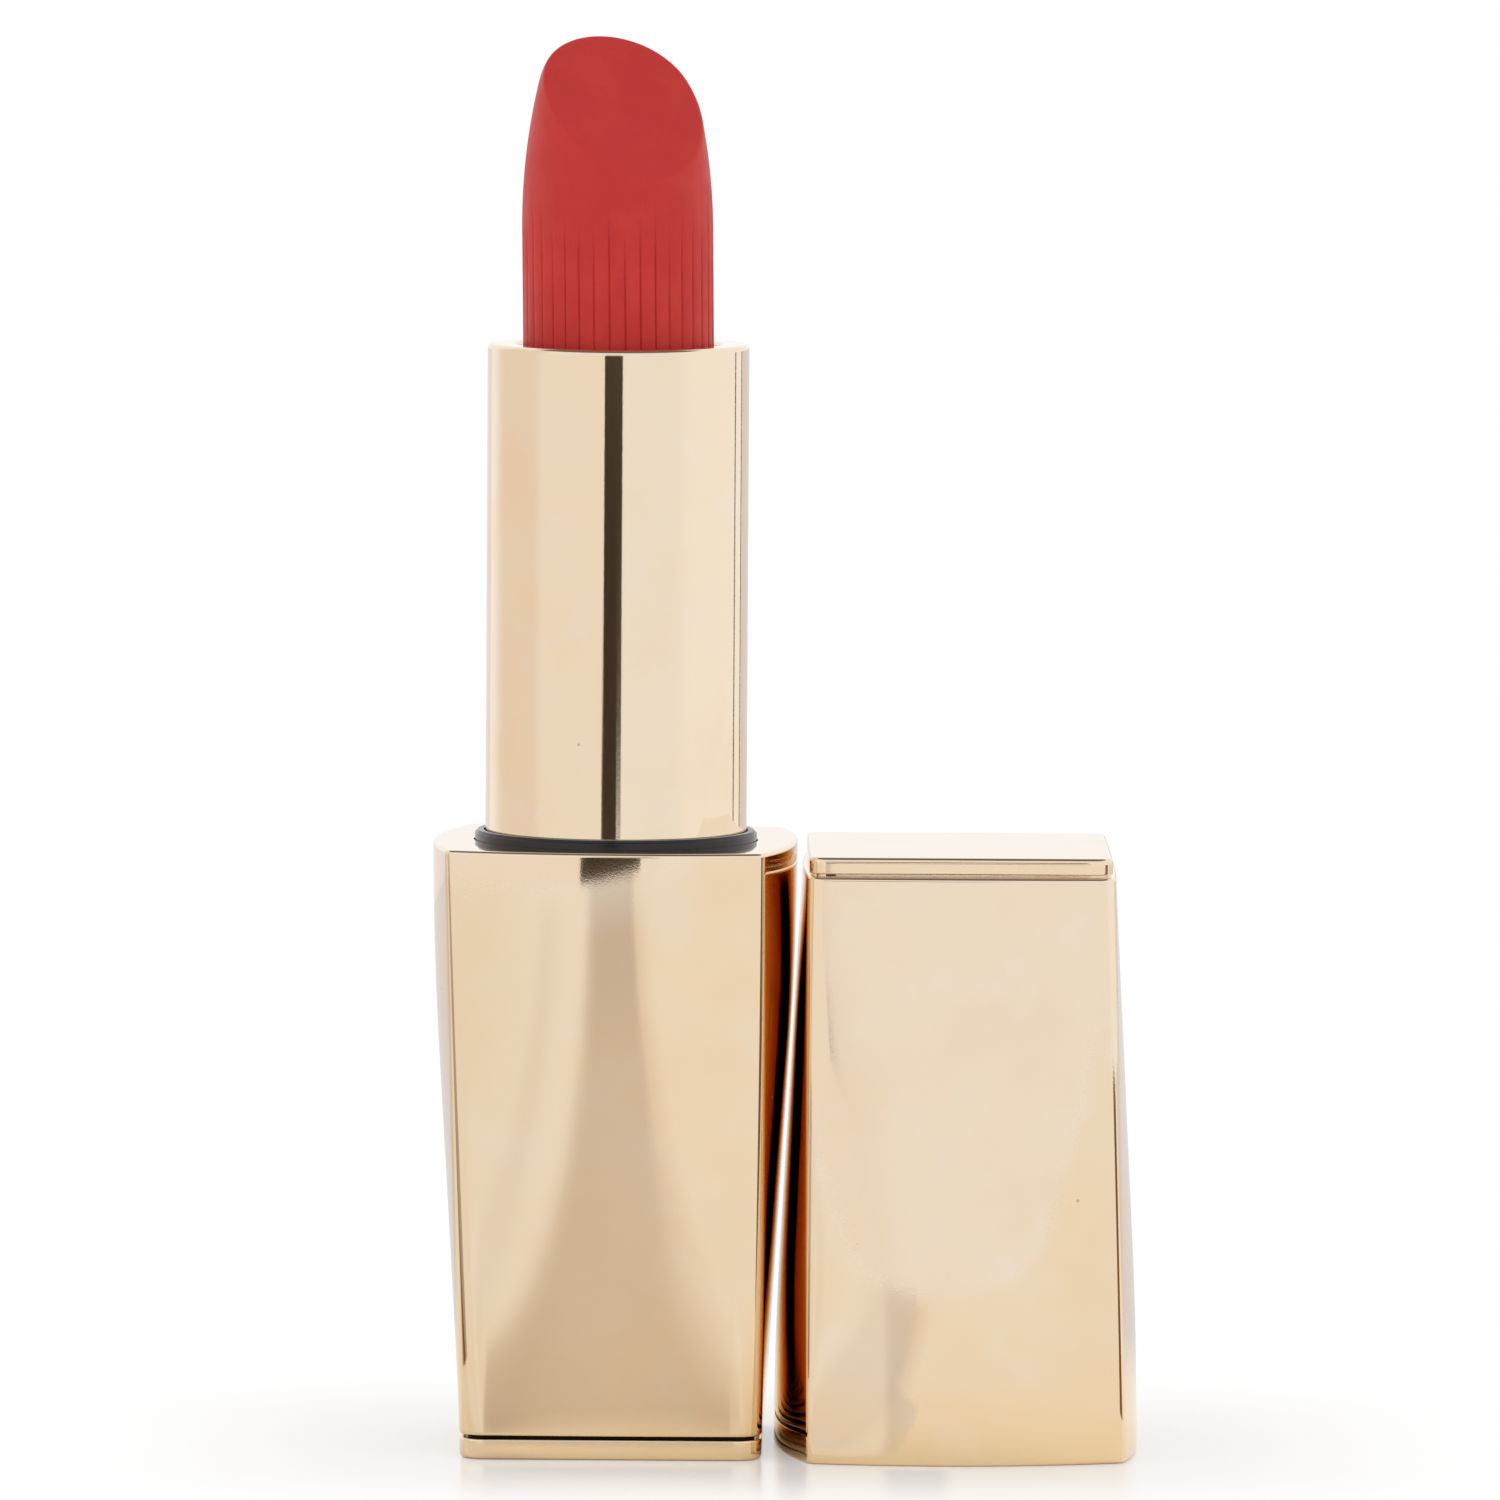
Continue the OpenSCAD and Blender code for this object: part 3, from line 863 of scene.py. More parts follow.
@dataclass(frozen=True)
class LipWax:
    """Moulded stick of lip colour: satin wax with soft clouds, a fine tooth and pressed specks."""

    name: str
    colour: Colour = (0.545, 0.031, 0.027)
    warm: Colour = (0.58, 0.038, 0.029)
    cool: Colour = (0.53, 0.028, 0.026)
    rubbed: Colour = (0.6, 0.05, 0.042)
    specks: Colour = (0.3, 0.015, 0.015)
    # cut: colour of the slanted face, a darker tone painted on as shade.
    cut: Colour = (0.48, 0.024, 0.022)
    wear_share: float = 0.2
    speck_share: float = 0.35
    face_shade_share: float = 0.35
    roughness: float = 0.46
    smear: Smear = Smear(scale=450.0, start=0.25, stop=0.8, less=0.05, more=0.1)
    relief: Relief = Relief(ripple_scale=420.0, ripple=0.5, grain_scale=7000.0, grain=0.4,
                            depth=0.00003)

    def make(self, groups: SharedGroups) -> bpy.types.Material:
        """Builds the material.

        Args:
            groups: The shared node groups.

        Returns:
            The material.
        """
        material, graph, shader = start_material(self.name)
        tint = groups.cloudy.place(graph, Colour=self.colour, Warm=self.warm, Cool=self.cool,
                                   Scale=260.0)
        specks = groups.specks.place(graph, Scale=1500.0, Share=0.02, Size=0.14)
        wear = groups.wear.place(graph, Start=0.6, Full=0.8, Scale=500.0)
        pale = graph.mix(graph.math("MULTIPLY", wear, self.wear_share), tint, self.rubbed)
        dotted = graph.mix(graph.math("MULTIPLY", specks, self.speck_share), pale, self.specks)
        # Painted shade darkens the slanted face and its soft edge.
        face_shade = graph.math("MULTIPLY", graph.attribute("painted_shade"), self.face_shade_share)
        graph.join(graph.mix(face_shade, dotted, self.cut), shader.inputs["Base Color"])
        self.smear.spread(graph, shader, self.roughness)
        shader.inputs["IOR"].default_value = 1.42
        shader.inputs["Specular IOR Level"].default_value = 0.3
        shader.inputs["Subsurface Weight"].default_value = 0.12
        shader.inputs["Subsurface Radius"].default_value = (1.0, 0.25, 0.18)
        shader.inputs["Subsurface Scale"].default_value = 0.0006
        self.relief.press(graph, shader, groups)
        return material


@dataclass(frozen=True)
class Moulded:
    """Moulded plastic or rubber: a plain colour, soft clouds, rubbed edges and an eroded texture."""

    name: str
    colour: Colour
    rubbed: Colour
    roughness: float = 0.42
    grain: float = 0.5
    cloud: float = 0.96
    wear_share: float = 0.6
    smear: Smear = Smear(scale=900.0, start=0.2, stop=0.8, less=0.06, more=0.08)

    def make(self, groups: SharedGroups) -> bpy.types.Material:
        """Builds the material.

        Args:
            groups: The shared node groups.

        Returns:
            The material.
        """
        material, graph, shader = start_material(self.name)
        darker = tuple(self.cloud * c for c in self.colour)
        tint = groups.cloudy.place(graph, Colour=self.colour, Warm=darker, Cool=self.colour,
                                   Scale=220.0)
        wear = groups.wear.place(graph, Start=0.54, Full=0.7, Scale=800.0)
        worn = graph.mix(graph.math("MULTIPLY", wear, self.wear_share), tint, self.rubbed)
        graph.join(worn, shader.inputs["Base Color"])
        self.smear.spread(graph, shader, self.roughness)
        shader.inputs["IOR"].default_value = 1.48
        relief = Relief(ripple_scale=600.0, ripple=0.2, grain_scale=6000.0,
                        grain=self.grain, depth=0.00004)
        relief.press(graph, shader, groups)
        return material


@dataclass(frozen=True)
class TurnedMetal:
    """Bare metal faced on a lathe or plated: fine rings, soft stains and brighter edges."""

    name: str
    colour: Colour
    roughness: float
    marks: float
    stain: float = 0.8
    gleam: float = 1.25
    smear: Smear = Smear(scale=500.0, start=0.2, stop=0.8, less=0.06, more=0.1)

    def make(self, groups: SharedGroups) -> bpy.types.Material:
        """Builds the material.

        Args:
            groups: The shared node groups.

        Returns:
            The material.
        """
        material, graph, shader = start_material(self.name)
        stained = tuple(self.stain * c for c in self.colour)
        bright = tuple(min(1.0, self.gleam * c) for c in self.colour)
        tint = groups.cloudy.place(graph, Colour=self.colour, Warm=stained, Cool=self.colour,
                                   Scale=300.0)
        wear = groups.wear.place(graph, Start=0.54, Full=0.7, Scale=700.0)
        graph.join(graph.mix(wear, tint, bright), shader.inputs["Base Color"])
        self.smear.spread(graph, shader, self.roughness)
        shader.inputs["Metallic"].default_value = 1.0
        bump(graph, shader, groups.rings.place(graph, Scale=4500.0, Depth=self.marks), 0.00002)
        return material


@dataclass(frozen=True)
class LabelPaper:
    """Satin paper label: pale, with a faint fibre and a slightly darker, handled cloud."""

    name: str
    colour: Colour = (0.78, 0.76, 0.71)
    warm: Colour = (0.755, 0.735, 0.68)
    cool: Colour = (0.79, 0.775, 0.74)
    fibre: Colour = (0.66, 0.64, 0.6)
    fibre_share: float = 0.25
    fibre_stretch: float = 6.0
    roughness: float = 0.55
    relief: Relief = Relief(ripple_scale=900.0, ripple=0.3, grain_scale=5000.0, grain=0.6,
                            depth=0.00003)

    def make(self, groups: SharedGroups) -> bpy.types.Material:
        """Builds the material.

        Args:
            groups: The shared node groups.

        Returns:
            The material.
        """
        material, graph, shader = start_material(self.name)
        tint = groups.cloudy.place(graph, Colour=self.colour, Warm=self.warm, Cool=self.cool,
                                   Scale=350.0)
        drawn = graph.add("Mapping")
        drawn.inputs["Scale"].default_value = (1.0, self.fibre_stretch, 1.0)
        graph.join(graph.places(), drawn.inputs["Vector"])
        strands = graph.noise(drawn.outputs[0], 1500.0, 4.0, 0.7)
        strands = graph.fade(strands, 0.45, 0.7, 0.0, self.fibre_share)
        graph.join(graph.mix(strands, tint, self.fibre), shader.inputs["Base Color"])
        shader.inputs["Roughness"].default_value = self.roughness
        self.relief.press(graph, shader, groups)
        return material


class Finishes:
    """Every finish of the object, made once, by record slot."""

    def __init__(self, groups: SharedGroups) -> None:
        """Builds the materials from the shared groups.

        Args:
            groups: The shared node groups.
        """
        kinds = {
            Slot.CASE: MirrorGold("polished gold case"),
            Slot.PLATE: MirrorGold("polished gold plate", roughness=0.055, ripple=0.25),
            Slot.SLEEVE: MirrorGold("bright gold sleeve", colour=(0.89, 0.75, 0.575),
                                    roughness=0.05, ripple=0.14),
            Slot.COLLAR: BlackGloss("polished black ring"),
            Slot.DARK: Moulded("dark moulded plastic", (0.018, 0.019, 0.022),
                               rubbed=(0.05, 0.05, 0.055)),
            Slot.WHITE: Moulded("white moulded plastic", (0.74, 0.71, 0.66),
                                rubbed=(0.82, 0.8, 0.76), roughness=0.36, grain=0.25),
            Slot.RUBBER: Moulded("grip rubber", (0.03, 0.028, 0.026),
                                 rubbed=(0.07, 0.066, 0.06), roughness=0.7, grain=0.8),
            Slot.STEEL: TurnedMetal("turned steel", (0.45, 0.46, 0.47), roughness=0.32, marks=1.0),
            Slot.MAGNET: TurnedMetal("nickel plated magnet", (0.66, 0.65, 0.62), roughness=0.2,
                                     marks=0.3),
            Slot.LABEL: LabelPaper("satin paper label"),
            Slot.LIP: LipWax("satin lip colour"),
        }
        self.by_slot = {slot: finish.make(groups) for slot, finish in kinds.items()}

    def dress(self, piece: bpy.types.Object, slot: Slot) -> None:
        """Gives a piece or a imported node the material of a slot."""
        piece.data.materials.clear()
        piece.data.materials.append(self.by_slot[slot])


def fit(piece: bpy.types.Object, body: Body, slot: Slot, finishes: Finishes,
        *nodes: str) -> bpy.types.Object:
    """Finishes a new piece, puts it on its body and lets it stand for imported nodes.

    Args:
        piece: The piece.
        body: The body that it rides on.
        slot: Its material slot.
        finishes: The object's finishes.
        nodes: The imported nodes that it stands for.

    Returns:
        The piece.
    """
    finishes.dress(piece, slot)
    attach(piece, body.value)
    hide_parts(*nodes)
    LOG.info("piece %s: %d faces, on %s, for %s", piece.name, len(piece.data.polygons),
             body.value, ", ".join(nodes))
    return piece


def keep(node: str, slot: Slot, finishes: Finishes) -> None:
    """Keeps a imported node's shape and gives it a slot's finish."""
    finishes.dress(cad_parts[node], slot)
    LOG.info("node %s kept, finish %s", node, slot.value)


# ------------------------------------------------------------------------------------------------
# Sub-assemblies
# ------------------------------------------------------------------------------------------------


@dataclass
class EndPlate:
    """Square plate at a flat end of the case, with a neck that leaves a thin groove."""

    half: float
    corner: float
    turn: float
    groove_depth: float = 0.45
    groove: float = 0.2
    outer_edge: float = 0.42
    groove_edge: float = 0.12
    neck_edge: float = 0.03
    neck_corner: float = 0.02
    # How strongly painted shade darkens the neck inside the groove.
    neck_shade: float = 1.0
    neck_share: float = 0.8
    neck_margin: float = 0.04
    draft: float = 0.0

    def neck_painted_shade(self, path: np.ndarray, low: float, high: float) -> np.ndarray:
        """Gives the painted shade at each point (inset, height) of a path: only the neck is shaded.

        Args:
            path: The path.
            low: The neck's foot.
            high: The neck's top.

        Returns:
            The painted shade at each point.
        """
        inset, z = path[:, 0], path[:, 1]
        deep = inset > self.neck_share * self.groove_depth
        level = (z > low - self.neck_margin) & (z < high + self.neck_margin)
        return self.neck_shade * (deep & level)


@dataclass
class BaseCase:
    """The lower half: twisted shell with its deck, end plate with a label, and the parts inside."""

    half: CaseHalf = field(init=False)
    plate: EndPlate = field(default_factory=lambda: EndPlate(half=9.52, corner=1.6, turn=-0.5))
    deck: float = 0.8
    deck_steps: tuple[float, ...] = (0.02, 0.15, 0.3, 0.45, 0.6, 0.75, 0.9, 0.98, 1.0)
    seat_radius: float = 9.0
    hole_edge: float = 0.08
    label_seat: float = 6.5
    label_land: float = 0.3
    label_depth: float = 0.17
    plug_half: float = 8.65
    plug: float = 1.5
    plug_edge: float = 0.1
    plug_land: float = 1.0

    def __post_init__(self) -> None:
        """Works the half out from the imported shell's box."""
        low, high = node_box("base_shell")
        self.half = CaseHalf(centre_x=0.0, seam_z=high[2], end_z=low[2], seam_turn=-3.6,
                             end_turn=-0.5, end_mid=9.62, end_crease=9.5, end_corner=1.6)

    def shell(self) -> bpy.types.Object:
        """Makes the shell: up the outside, over the deck to its round hole, and down the inside.

        Returns:
            The shell.
        """
        half = self.half
        outer = half.outer_wall(half.end_z, half.seam_z)
        rim = outer[-1, :, :2]
        hole = round_like(rim, self.seat_radius + self.hole_edge)
        deck = at_height(between(rim, hole, np.array(self.deck_steps)), half.seam_z)
        lip = []
        for a in arc(0, 90, 3)[1:]:
            ring = round_like(rim, self.seat_radius + self.hole_edge * (1 - math.sin(a)))
            lip.append(at_height(ring[None], half.seam_z - self.hole_edge * (1 - math.cos(a))))
        under_z = half.seam_z - self.deck
        inner = half.inner_wall(under_z, half.end_z)
        wall = inner[0, :, :2]
        seat = round_like(wall, self.seat_radius)
        under = at_height(between(seat, wall, np.linspace(0, 1, 5)[:-1]), under_z)
        rings = np.concatenate([outer, deck, *lip, under, inner])
        return skin("case_base_shell", half.place(rings), wraps=True)

    def label_well(self, rim: np.ndarray) -> np.ndarray:
        """Gives the rings of the label's round seat, from its middle out over its rim.

        Args:
            rim: The outline that the seat's directions follow.

        Returns:
            Rings at shares of the seat's radius, with their heights.
        """
        deep = self.label_depth
        well = np.array([(0.02, deep), (0.5, deep), (0.985, deep), (1.0, deep - 0.02),
                         (1.0, 0.03), (1.002, 0.01), (1.008, 0.0), (1.02, 0.0)])
        seat = round_like(rim, self.label_seat)
        return at_height(seat[None] * well[:, :1, None], well[:, 1])

    def end_plate(self) -> bpy.types.Object:
        """Makes the plate: out from the label's seat, round the edge, in to the neck and up the plug.

        Returns:
            The plate.
        """
        plate, top = self.plate, self.half.end_z
        low, plug_inset = top - plate.groove, plate.half - self.plug_half
        corners = [
            (plate.half - self.label_seat - self.label_land, 0.0, 0.0),
            (0, 0, plate.outer_edge),
            (0, low, plate.groove_edge),
            (plate.groove_depth, low, plate.neck_edge),
            (plate.groove_depth, top, plate.neck_corner),
            (plug_inset, top, plate.neck_corner),
            (plug_inset, top + self.plug, self.plug_edge),
            (plate.half - self.plug_land, top + self.plug, 0.0),
        ]
        path = rounded_path(corners, closed=False)
        body = square_plate(plate.half, plate.corner, plate.turn, path)
        seats = self.label_well(body[0, :, :2])
        # Painted shade on the neck in the groove; none on the label's seat.
        painted_shade = np.concatenate([np.zeros(len(seats)), plate.neck_painted_shade(path, low, top)])
        rings = np.concatenate([seats, body])
        return skin("case_base_plate", rings, first_pole=True, last_pole=True, painted_shade=painted_shade)

    def build(self, finishes: Finishes) -> None:
        """Builds and dresses the lower half.

        Args:
            finishes: The object's finishes.
        """
        fit(self.shell(), Body.BASE, Slot.CASE, finishes, "base_shell")
        fit(self.end_plate(), Body.BASE, Slot.PLATE, finishes, "base_plate")
        keep("shade_label", Slot.LABEL, finishes)
        keep("base_weight", Slot.STEEL, finishes)
        keep("base_socket", Slot.DARK, finishes)
        keep("base_magnets", Slot.MAGNET, finishes)


@dataclass
class Collar:
    """The black ring that centres the cap, stepped around its top."""

    step: float = 0.16
    bore: float = 8.37
    edge: float = 0.05
    foot_edge: float = 0.03
    columns: int = 192

    def build(self, finishes: Finishes) -> None:
        """Builds the ring: up its outside, in over the step, and down its bore.

        Args:
            finishes: The object's finishes.
        """
        low, high = node_box("collar_ring")
        radius, foot, top = high[0], low[2], high[2]
        outline = rounded_path([
            (self.bore, foot, self.foot_edge),
            (radius, foot, self.foot_edge),
            (radius, top - self.step, self.edge),
            (radius - self.step, top - self.step, self.foot_edge),
            (radius - self.step, top, self.edge),
            (self.bore, top, self.edge),
        ])
        ring = turned("collar", outline, self.columns)
        fit(ring, Body.BASE, Slot.COLLAR, finishes, "collar_ring")


@dataclass
class Refill:
    """The wind-up refill: bright sleeve, and the foot, tubes, brake and cup inside it."""

    wall: float = 0.35
    lip_bore: float = 6.5
    lip_thickness: float = 0.5
    shoulder: float = 0.34
    bore_edge: float = 0.22
    guard: float = 0.02
    foot_guard: float = 0.06
    shoulder_run: float = 0.5
    inner_edge: float = 0.05
    lip_corner: float = 0.1
    wall_rows: int = 24
    shoulder_steps: int = 12
    bore_steps: int = 6
    columns: int = 224

    def sleeve(self) -> bpy.types.Object:
        """Makes the drawn sleeve: up the outside, round the shoulder, over the top and down the bore.

        Returns:
            The sleeve.
        """
        low, high = node_box("sleeve_shell")
        radius, foot, top = high[0], low[2], high[2]
        straight = top - self.shoulder
        walls = np.linspace(foot + self.foot_guard, straight - self.shoulder_run, self.wall_rows)
        walls = np.append(walls, straight - self.guard)
        outer = np.stack([np.full_like(walls, radius), walls], -1)
        turn = arc(0, 90, self.shoulder_steps)
        shoulder = np.stack([radius - self.shoulder * (1 - np.cos(turn)),
                             top - self.shoulder * (1 - np.sin(turn))], -1)
        flat = np.array([[radius - self.shoulder - self.guard, top],
                         [self.lip_bore + self.bore_edge + self.guard, top]])
        turn = arc(0, 90, self.bore_steps)
        bore = np.stack([self.lip_bore + self.bore_edge * (1 - np.sin(turn)),
                         top - self.bore_edge * (1 - np.cos(turn))], -1)
        inside, ceiling = radius - self.wall, top - self.lip_thickness
        under = rounded_path([
            (self.lip_bore, ceiling, self.inner_edge),
            (inside, ceiling, self.lip_corner),
            (inside, foot, self.inner_edge),
            (radius, foot, self.inner_edge),
        ], steps=3)
        profile = np.vstack([outer, shoulder, flat, bore, under])
        return turned("refill_sleeve", profile, self.columns)

    def build(self, finishes: Finishes) -> None:
        """Builds the sleeve and dresses the works inside it.

        Args:
            finishes: The object's finishes.
        """
        fit(self.sleeve(), Body.SLEEVE, Slot.SLEEVE, finishes, "sleeve_shell")
        for node in ("refill_foot", "inner_tube", "helix_tube", "carrier_cup"):
            keep(node, Slot.WHITE, finishes)
        for node in ("grip_ring", "brake_ring"):
            keep(node, Slot.RUBBER, finishes)


@dataclass
class Stick:
    """The stick of lip colour: fluted below, smooth and curved above, cut by one slanted face.

    The face has soft edges, and the stick stands a hair askew in its cup, leaning to -X above the
    sleeve's rim. Rows and columns are shares of the way across the part that they cover.
    """

    slant: float = 45.0
    slant_turn: float = -67.0
    slant_height: float = 9.8
    curve_radius: float = 39.5
    curve_height: float = 9.5
    tip: float = 4.85
    over_cut: float = 0.85
    lean: float = 0.013
    flutes: int = 38
    groove_depth: float = 0.1
    groove_share: float = 0.07
    groove_top: float = 78.3
    groove_spread: float = 0.9
    groove_fade: float = 5.5
    groove_wander: float = 2.3
    pleat: float = 0.035
    pleat_top: float = 82.0
    pleat_fade: float = 9.0
    pleat_tilt: float = 0.5
    edge_below: float = 0.22
    edge_inside: float = 0.28
    foot_rise: float = 0.3
    flute_columns: tuple[float, ...] = (0, 0.025, 0.05, 0.075, 0.18, 0.34, 0.5, 0.66, 0.82,
                                        0.925, 0.95, 0.975)
    foot_rows: tuple[float, ...] = (0.02, 0.5, 0.96)
    side_rows: int = 120
    edge_rows: int = 9
    face_rows: tuple[float, ...] = (0.01, 0.05, 0.12, 0.2, 0.3, 0.4, 0.5, 0.6, 0.7, 0.8, 0.9, 0.97)
    foot: float = field(init=False)
    radius: float = field(init=False)
    top: float = field(init=False)
    face_foot: float = field(init=False)

    def __post_init__(self) -> None:
        """Works out where the stick starts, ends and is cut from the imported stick's box."""
        low, high = node_box("bullet")
        self.foot, self.radius = float(low[2]), float(high[0])
        self.top = float(high[2]) + self.over_cut
        self.face_foot = self.top - self.slant_height

    def radius_at(self, z: np.ndarray) -> np.ndarray:
        """Gives the turned stick's radius at heights z.

        It is a cylinder of radius r up to the curve, r - R + √(R² - h²) at h over the curve's foot
        for the long arc of radius R that leans in, and an arc of the tip's radius above it.

        Args:
            z: Heights.

        Returns:
            The radius at each.
        """
        r, top = self.radius, self.top
        lean = math.asin(self.curve_height / self.curve_radius)
        shrunk = r - self.curve_radius * (1 - math.cos(lean))
        tip_r, tip_z = shrunk - self.tip * math.cos(lean), top - self.tip
        curve_z = tip_z + self.tip * math.sin(lean) - self.curve_height
        over = np.clip(z - curve_z, 0, self.curve_height)
        long_arc = r - self.curve_radius + np.sqrt(self.curve_radius ** 2 - over ** 2)
        rise = np.clip(z - tip_z, 0, self.tip)
        round_tip = tip_r + np.sqrt(self.tip ** 2 - rise ** 2)
        return np.where(z > curve_z + self.curve_height, round_tip, long_arc)

    def side_point(self, z: np.ndarray, angle: np.ndarray) -> np.ndarray:
        """Gives points of the side, pressed in by the flutes.

        A flute is a flat V, deepest where its share of a pitch is 0, and the panel between two of
        them slopes and bows a little. The V fades out at a height that differs from flute to
        flute, the panels higher up.

        Args:
            z: Heights.
            angle: Directions about the axis.

        Returns:
            The points.
        """
        turns = angle * self.flutes / (2 * np.pi)
        nearest = np.round(turns)
        away = np.abs(turns - nearest)
        top = self.groove_top + self.groove_spread * np.sin(self.groove_wander * nearest)
        fade = np.clip((top - z) / self.groove_fade, 0, 1)
        groove = self.groove_depth * np.clip(1 - away / self.groove_share, 0, 1) * fade * (2 - fade)
        fade = np.clip((self.pleat_top - z) / self.pleat_fade, 0, 1)
        bowed = (1 - 2 * away) ** 2 + self.pleat_tilt * (turns % 1.0)
        panel = self.pleat * bowed * fade * fade * (3 - 2 * fade)
        r = self.radius_at(z) - groove - panel
        return np.stack([r * np.cos(angle), r * np.sin(angle), z], -1)

    def cut_height(self, angle: np.ndarray) -> np.ndarray:
        """Gives the height at which the slanted face cuts the side in each direction.

        The face is z + slope r cos(angle - turn) = foot + slope R, solved by halving an interval.

        Args:
            angle: Directions about the axis.

        Returns:
            The height in each.
        """
        slope = math.tan(math.radians(self.slant))
        facing = np.cos(angle - math.radians(self.slant_turn))
        low, high = np.full_like(angle, self.face_foot - 1.0), np.full_like(angle, self.top)
        for _ in range(HALVINGS):
            z = (low + high) / 2
            reach = z + self.radius_at(z) * facing * slope
            inside = reach < self.face_foot + self.radius * slope
            low, high = np.where(inside, z, low), np.where(inside, high, z)
        return low

    def face_middle(self, edge: np.ndarray) -> np.ndarray:
        """Gives the mean of the slanted face's edge, moved up or down onto the face.

        Args:
            edge: Points of the face's sharp edge.

        Returns:
            The point.
        """
        slope, turn = math.tan(math.radians(self.slant)), math.radians(self.slant_turn)
        x, y, _z = edge.mean(0)
        z = self.face_foot + slope * (self.radius - x * math.cos(turn) - y * math.sin(turn))
        return np.array([x, y, z])

    def foot_rings(self, angle: np.ndarray) -> np.ndarray:
        """Gives the flat rings that close the stick's foot.

        Args:
            angle: Directions about the axis.

        Returns:
            Points as rows by columns by 3.
        """
        ring = self.side_point(np.full_like(angle, self.foot + self.foot_rise), angle)
        down = np.array([0, 0, self.foot])
        return np.stack([ring * np.array([share, share, 0]) + down for share in self.foot_rows])

    def mesh(self) -> bpy.types.Object:
        """Makes the stick: up the fluted side, over the face's soft edge and in to its middle.

        The soft edge is a quadratic curve from the side to the face, with the sharp edge as its
        middle point. Above the rim every point moves to -X by its height over the rim times the
        lean.

        Returns:
            The stick.
        """
        columns = np.arange(self.flutes)[:, None] + np.array(self.flute_columns)
        angle = (columns * 2 * np.pi / self.flutes).ravel()
        cut = self.cut_height(angle)
        edge = self.side_point(cut, angle)
        below = self.side_point(cut - self.edge_below, angle)
        start = self.foot + self.foot_rise
        t = np.linspace(0, 1, self.side_rows)[:, None]
        heights = start + (cut - self.edge_below - start) * t
        side = self.side_point(heights, np.broadcast_to(angle, heights.shape))
        middle = self.face_middle(edge)
        inwards = middle - edge
        inwards /= np.linalg.norm(inwards, axis=1, keepdims=True)
        within = edge + inwards * self.edge_inside
        t = np.linspace(0, 1, self.edge_rows + 1)[1:, None, None]
        soft = below * (1 - t) ** 2 + edge * 2 * t * (1 - t) + within * t * t
        face = within + (middle - within) * np.array(self.face_rows)[:, None, None]
        rings = np.concatenate([self.foot_rings(angle), side, soft, face])
        rim = node_box("sleeve_shell")[1][2]
        rings[..., 0] -= self.lean * np.maximum(rings[..., 2] - rim, 0)
        # Painted shade: none on the side, rising over the soft edge, full on the slanted face.
        plain = np.zeros(len(self.foot_rows) + len(side))
        painted_shade = np.concatenate([plain, np.linspace(0, 1, len(soft)), np.ones(len(face))])
        return skin("lip_stick", rings, first_pole=True, last_pole=True, painted_shade=painted_shade)

    def build(self, finishes: Finishes) -> None:
        """Builds the stick."""
        fit(self.mesh(), Body.CARRIER, Slot.LIP, finishes, "bullet")


@dataclass
class Cap:
    """The upper half, on its mouth: twisted shell, top plate, liner, weight and magnets."""

    half: CaseHalf = field(init=False)
    # The cap plate's neck gets only a light painted shade.
    plate: EndPlate = field(default_factory=lambda: EndPlate(
        half=9.55, corner=1.1, turn=0.3, outer_edge=0.34, neck_shade=0.15, draft=0.02))
    ceiling: float = 0.6
    ceiling_rows: tuple[float, ...] = (0.02, 0.35, 0.7)
    top_rows: tuple[float, ...] = (0.995, 0.5, 0.02)
    plug_land: float = 1.0
    pole_reach: float = 0.9
    plate_rows: int = 6

    def __post_init__(self) -> None:
        """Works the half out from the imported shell's box."""
        low, high = node_box("cap_shell")
        self.half = CaseHalf(centre_x=(low[0] + high[0]) / 2, seam_z=low[2], end_z=high[2],
                             seam_turn=3.4, end_turn=0.3, end_mid=9.88, end_crease=9.65,
                             end_corner=1.1)

    def shell(self) -> bpy.types.Object:
        """Makes the shell: out under the ceiling, down the inside, up the outside, over the top.

        Returns:
            The shell.
        """
        half = self.half
        under, over = half.end_z - self.ceiling, half.end_z
        inner = half.inner_wall(under, half.seam_z)
        outer = half.outer_wall(half.seam_z, over)
        ceiling = [at_height(inner[:1, :, :2] * share, under) for share in self.ceiling_rows]
        top = [at_height(outer[-1:, :, :2] * share, over) for share in self.top_rows]
        rings = half.place(np.concatenate([*ceiling, inner, outer, *top]))
        return skin("case_cap_shell", rings, first_pole=True, last_pole=True)

    def top_plate(self) -> bpy.types.Object:
        """Makes the plate: out under the neck, up the groove, round the edges, in over the top.

        Returns:
            The plate.
        """
        plate, foot, top = self.plate, self.half.end_z, node_box("cap_top_plate")[1][2]
        low, pole = foot + plate.groove, plate.half - self.pole_reach
        path = rounded_path([
            (plate.half - self.plug_land, foot, 0.0),
            (plate.groove_depth, foot, plate.neck_corner),
            (plate.groove_depth, low, plate.neck_edge),
            (plate.draft, low, plate.groove_edge),
            (0, top, plate.outer_edge),
            (pole, top, 0.0),
        ], closed=False)
        across = np.linspace(1, pole, self.plate_rows)
        path = np.vstack([path[:-1], np.stack([across, np.full_like(across, top)], -1)])
        rings = self.half.place(square_plate(plate.half, plate.corner, plate.turn, path))
        # Painted shade on the neck in the groove.
        painted_shade = plate.neck_painted_shade(path, foot, low)
        return skin("case_cap_plate", rings, first_pole=True, last_pole=True, painted_shade=painted_shade)

    def build(self, finishes: Finishes) -> None:
        """Builds and dresses the cap.

        Args:
            finishes: The object's finishes.
        """
        fit(self.shell(), Body.CAP, Slot.CASE, finishes, "cap_shell")
        fit(self.top_plate(), Body.CAP, Slot.PLATE, finishes, "cap_top_plate")
        keep("cap_weight", Slot.STEEL, finishes)
        keep("cap_liner", Slot.DARK, finishes)
        keep("cap_magnets", Slot.MAGNET, finishes)


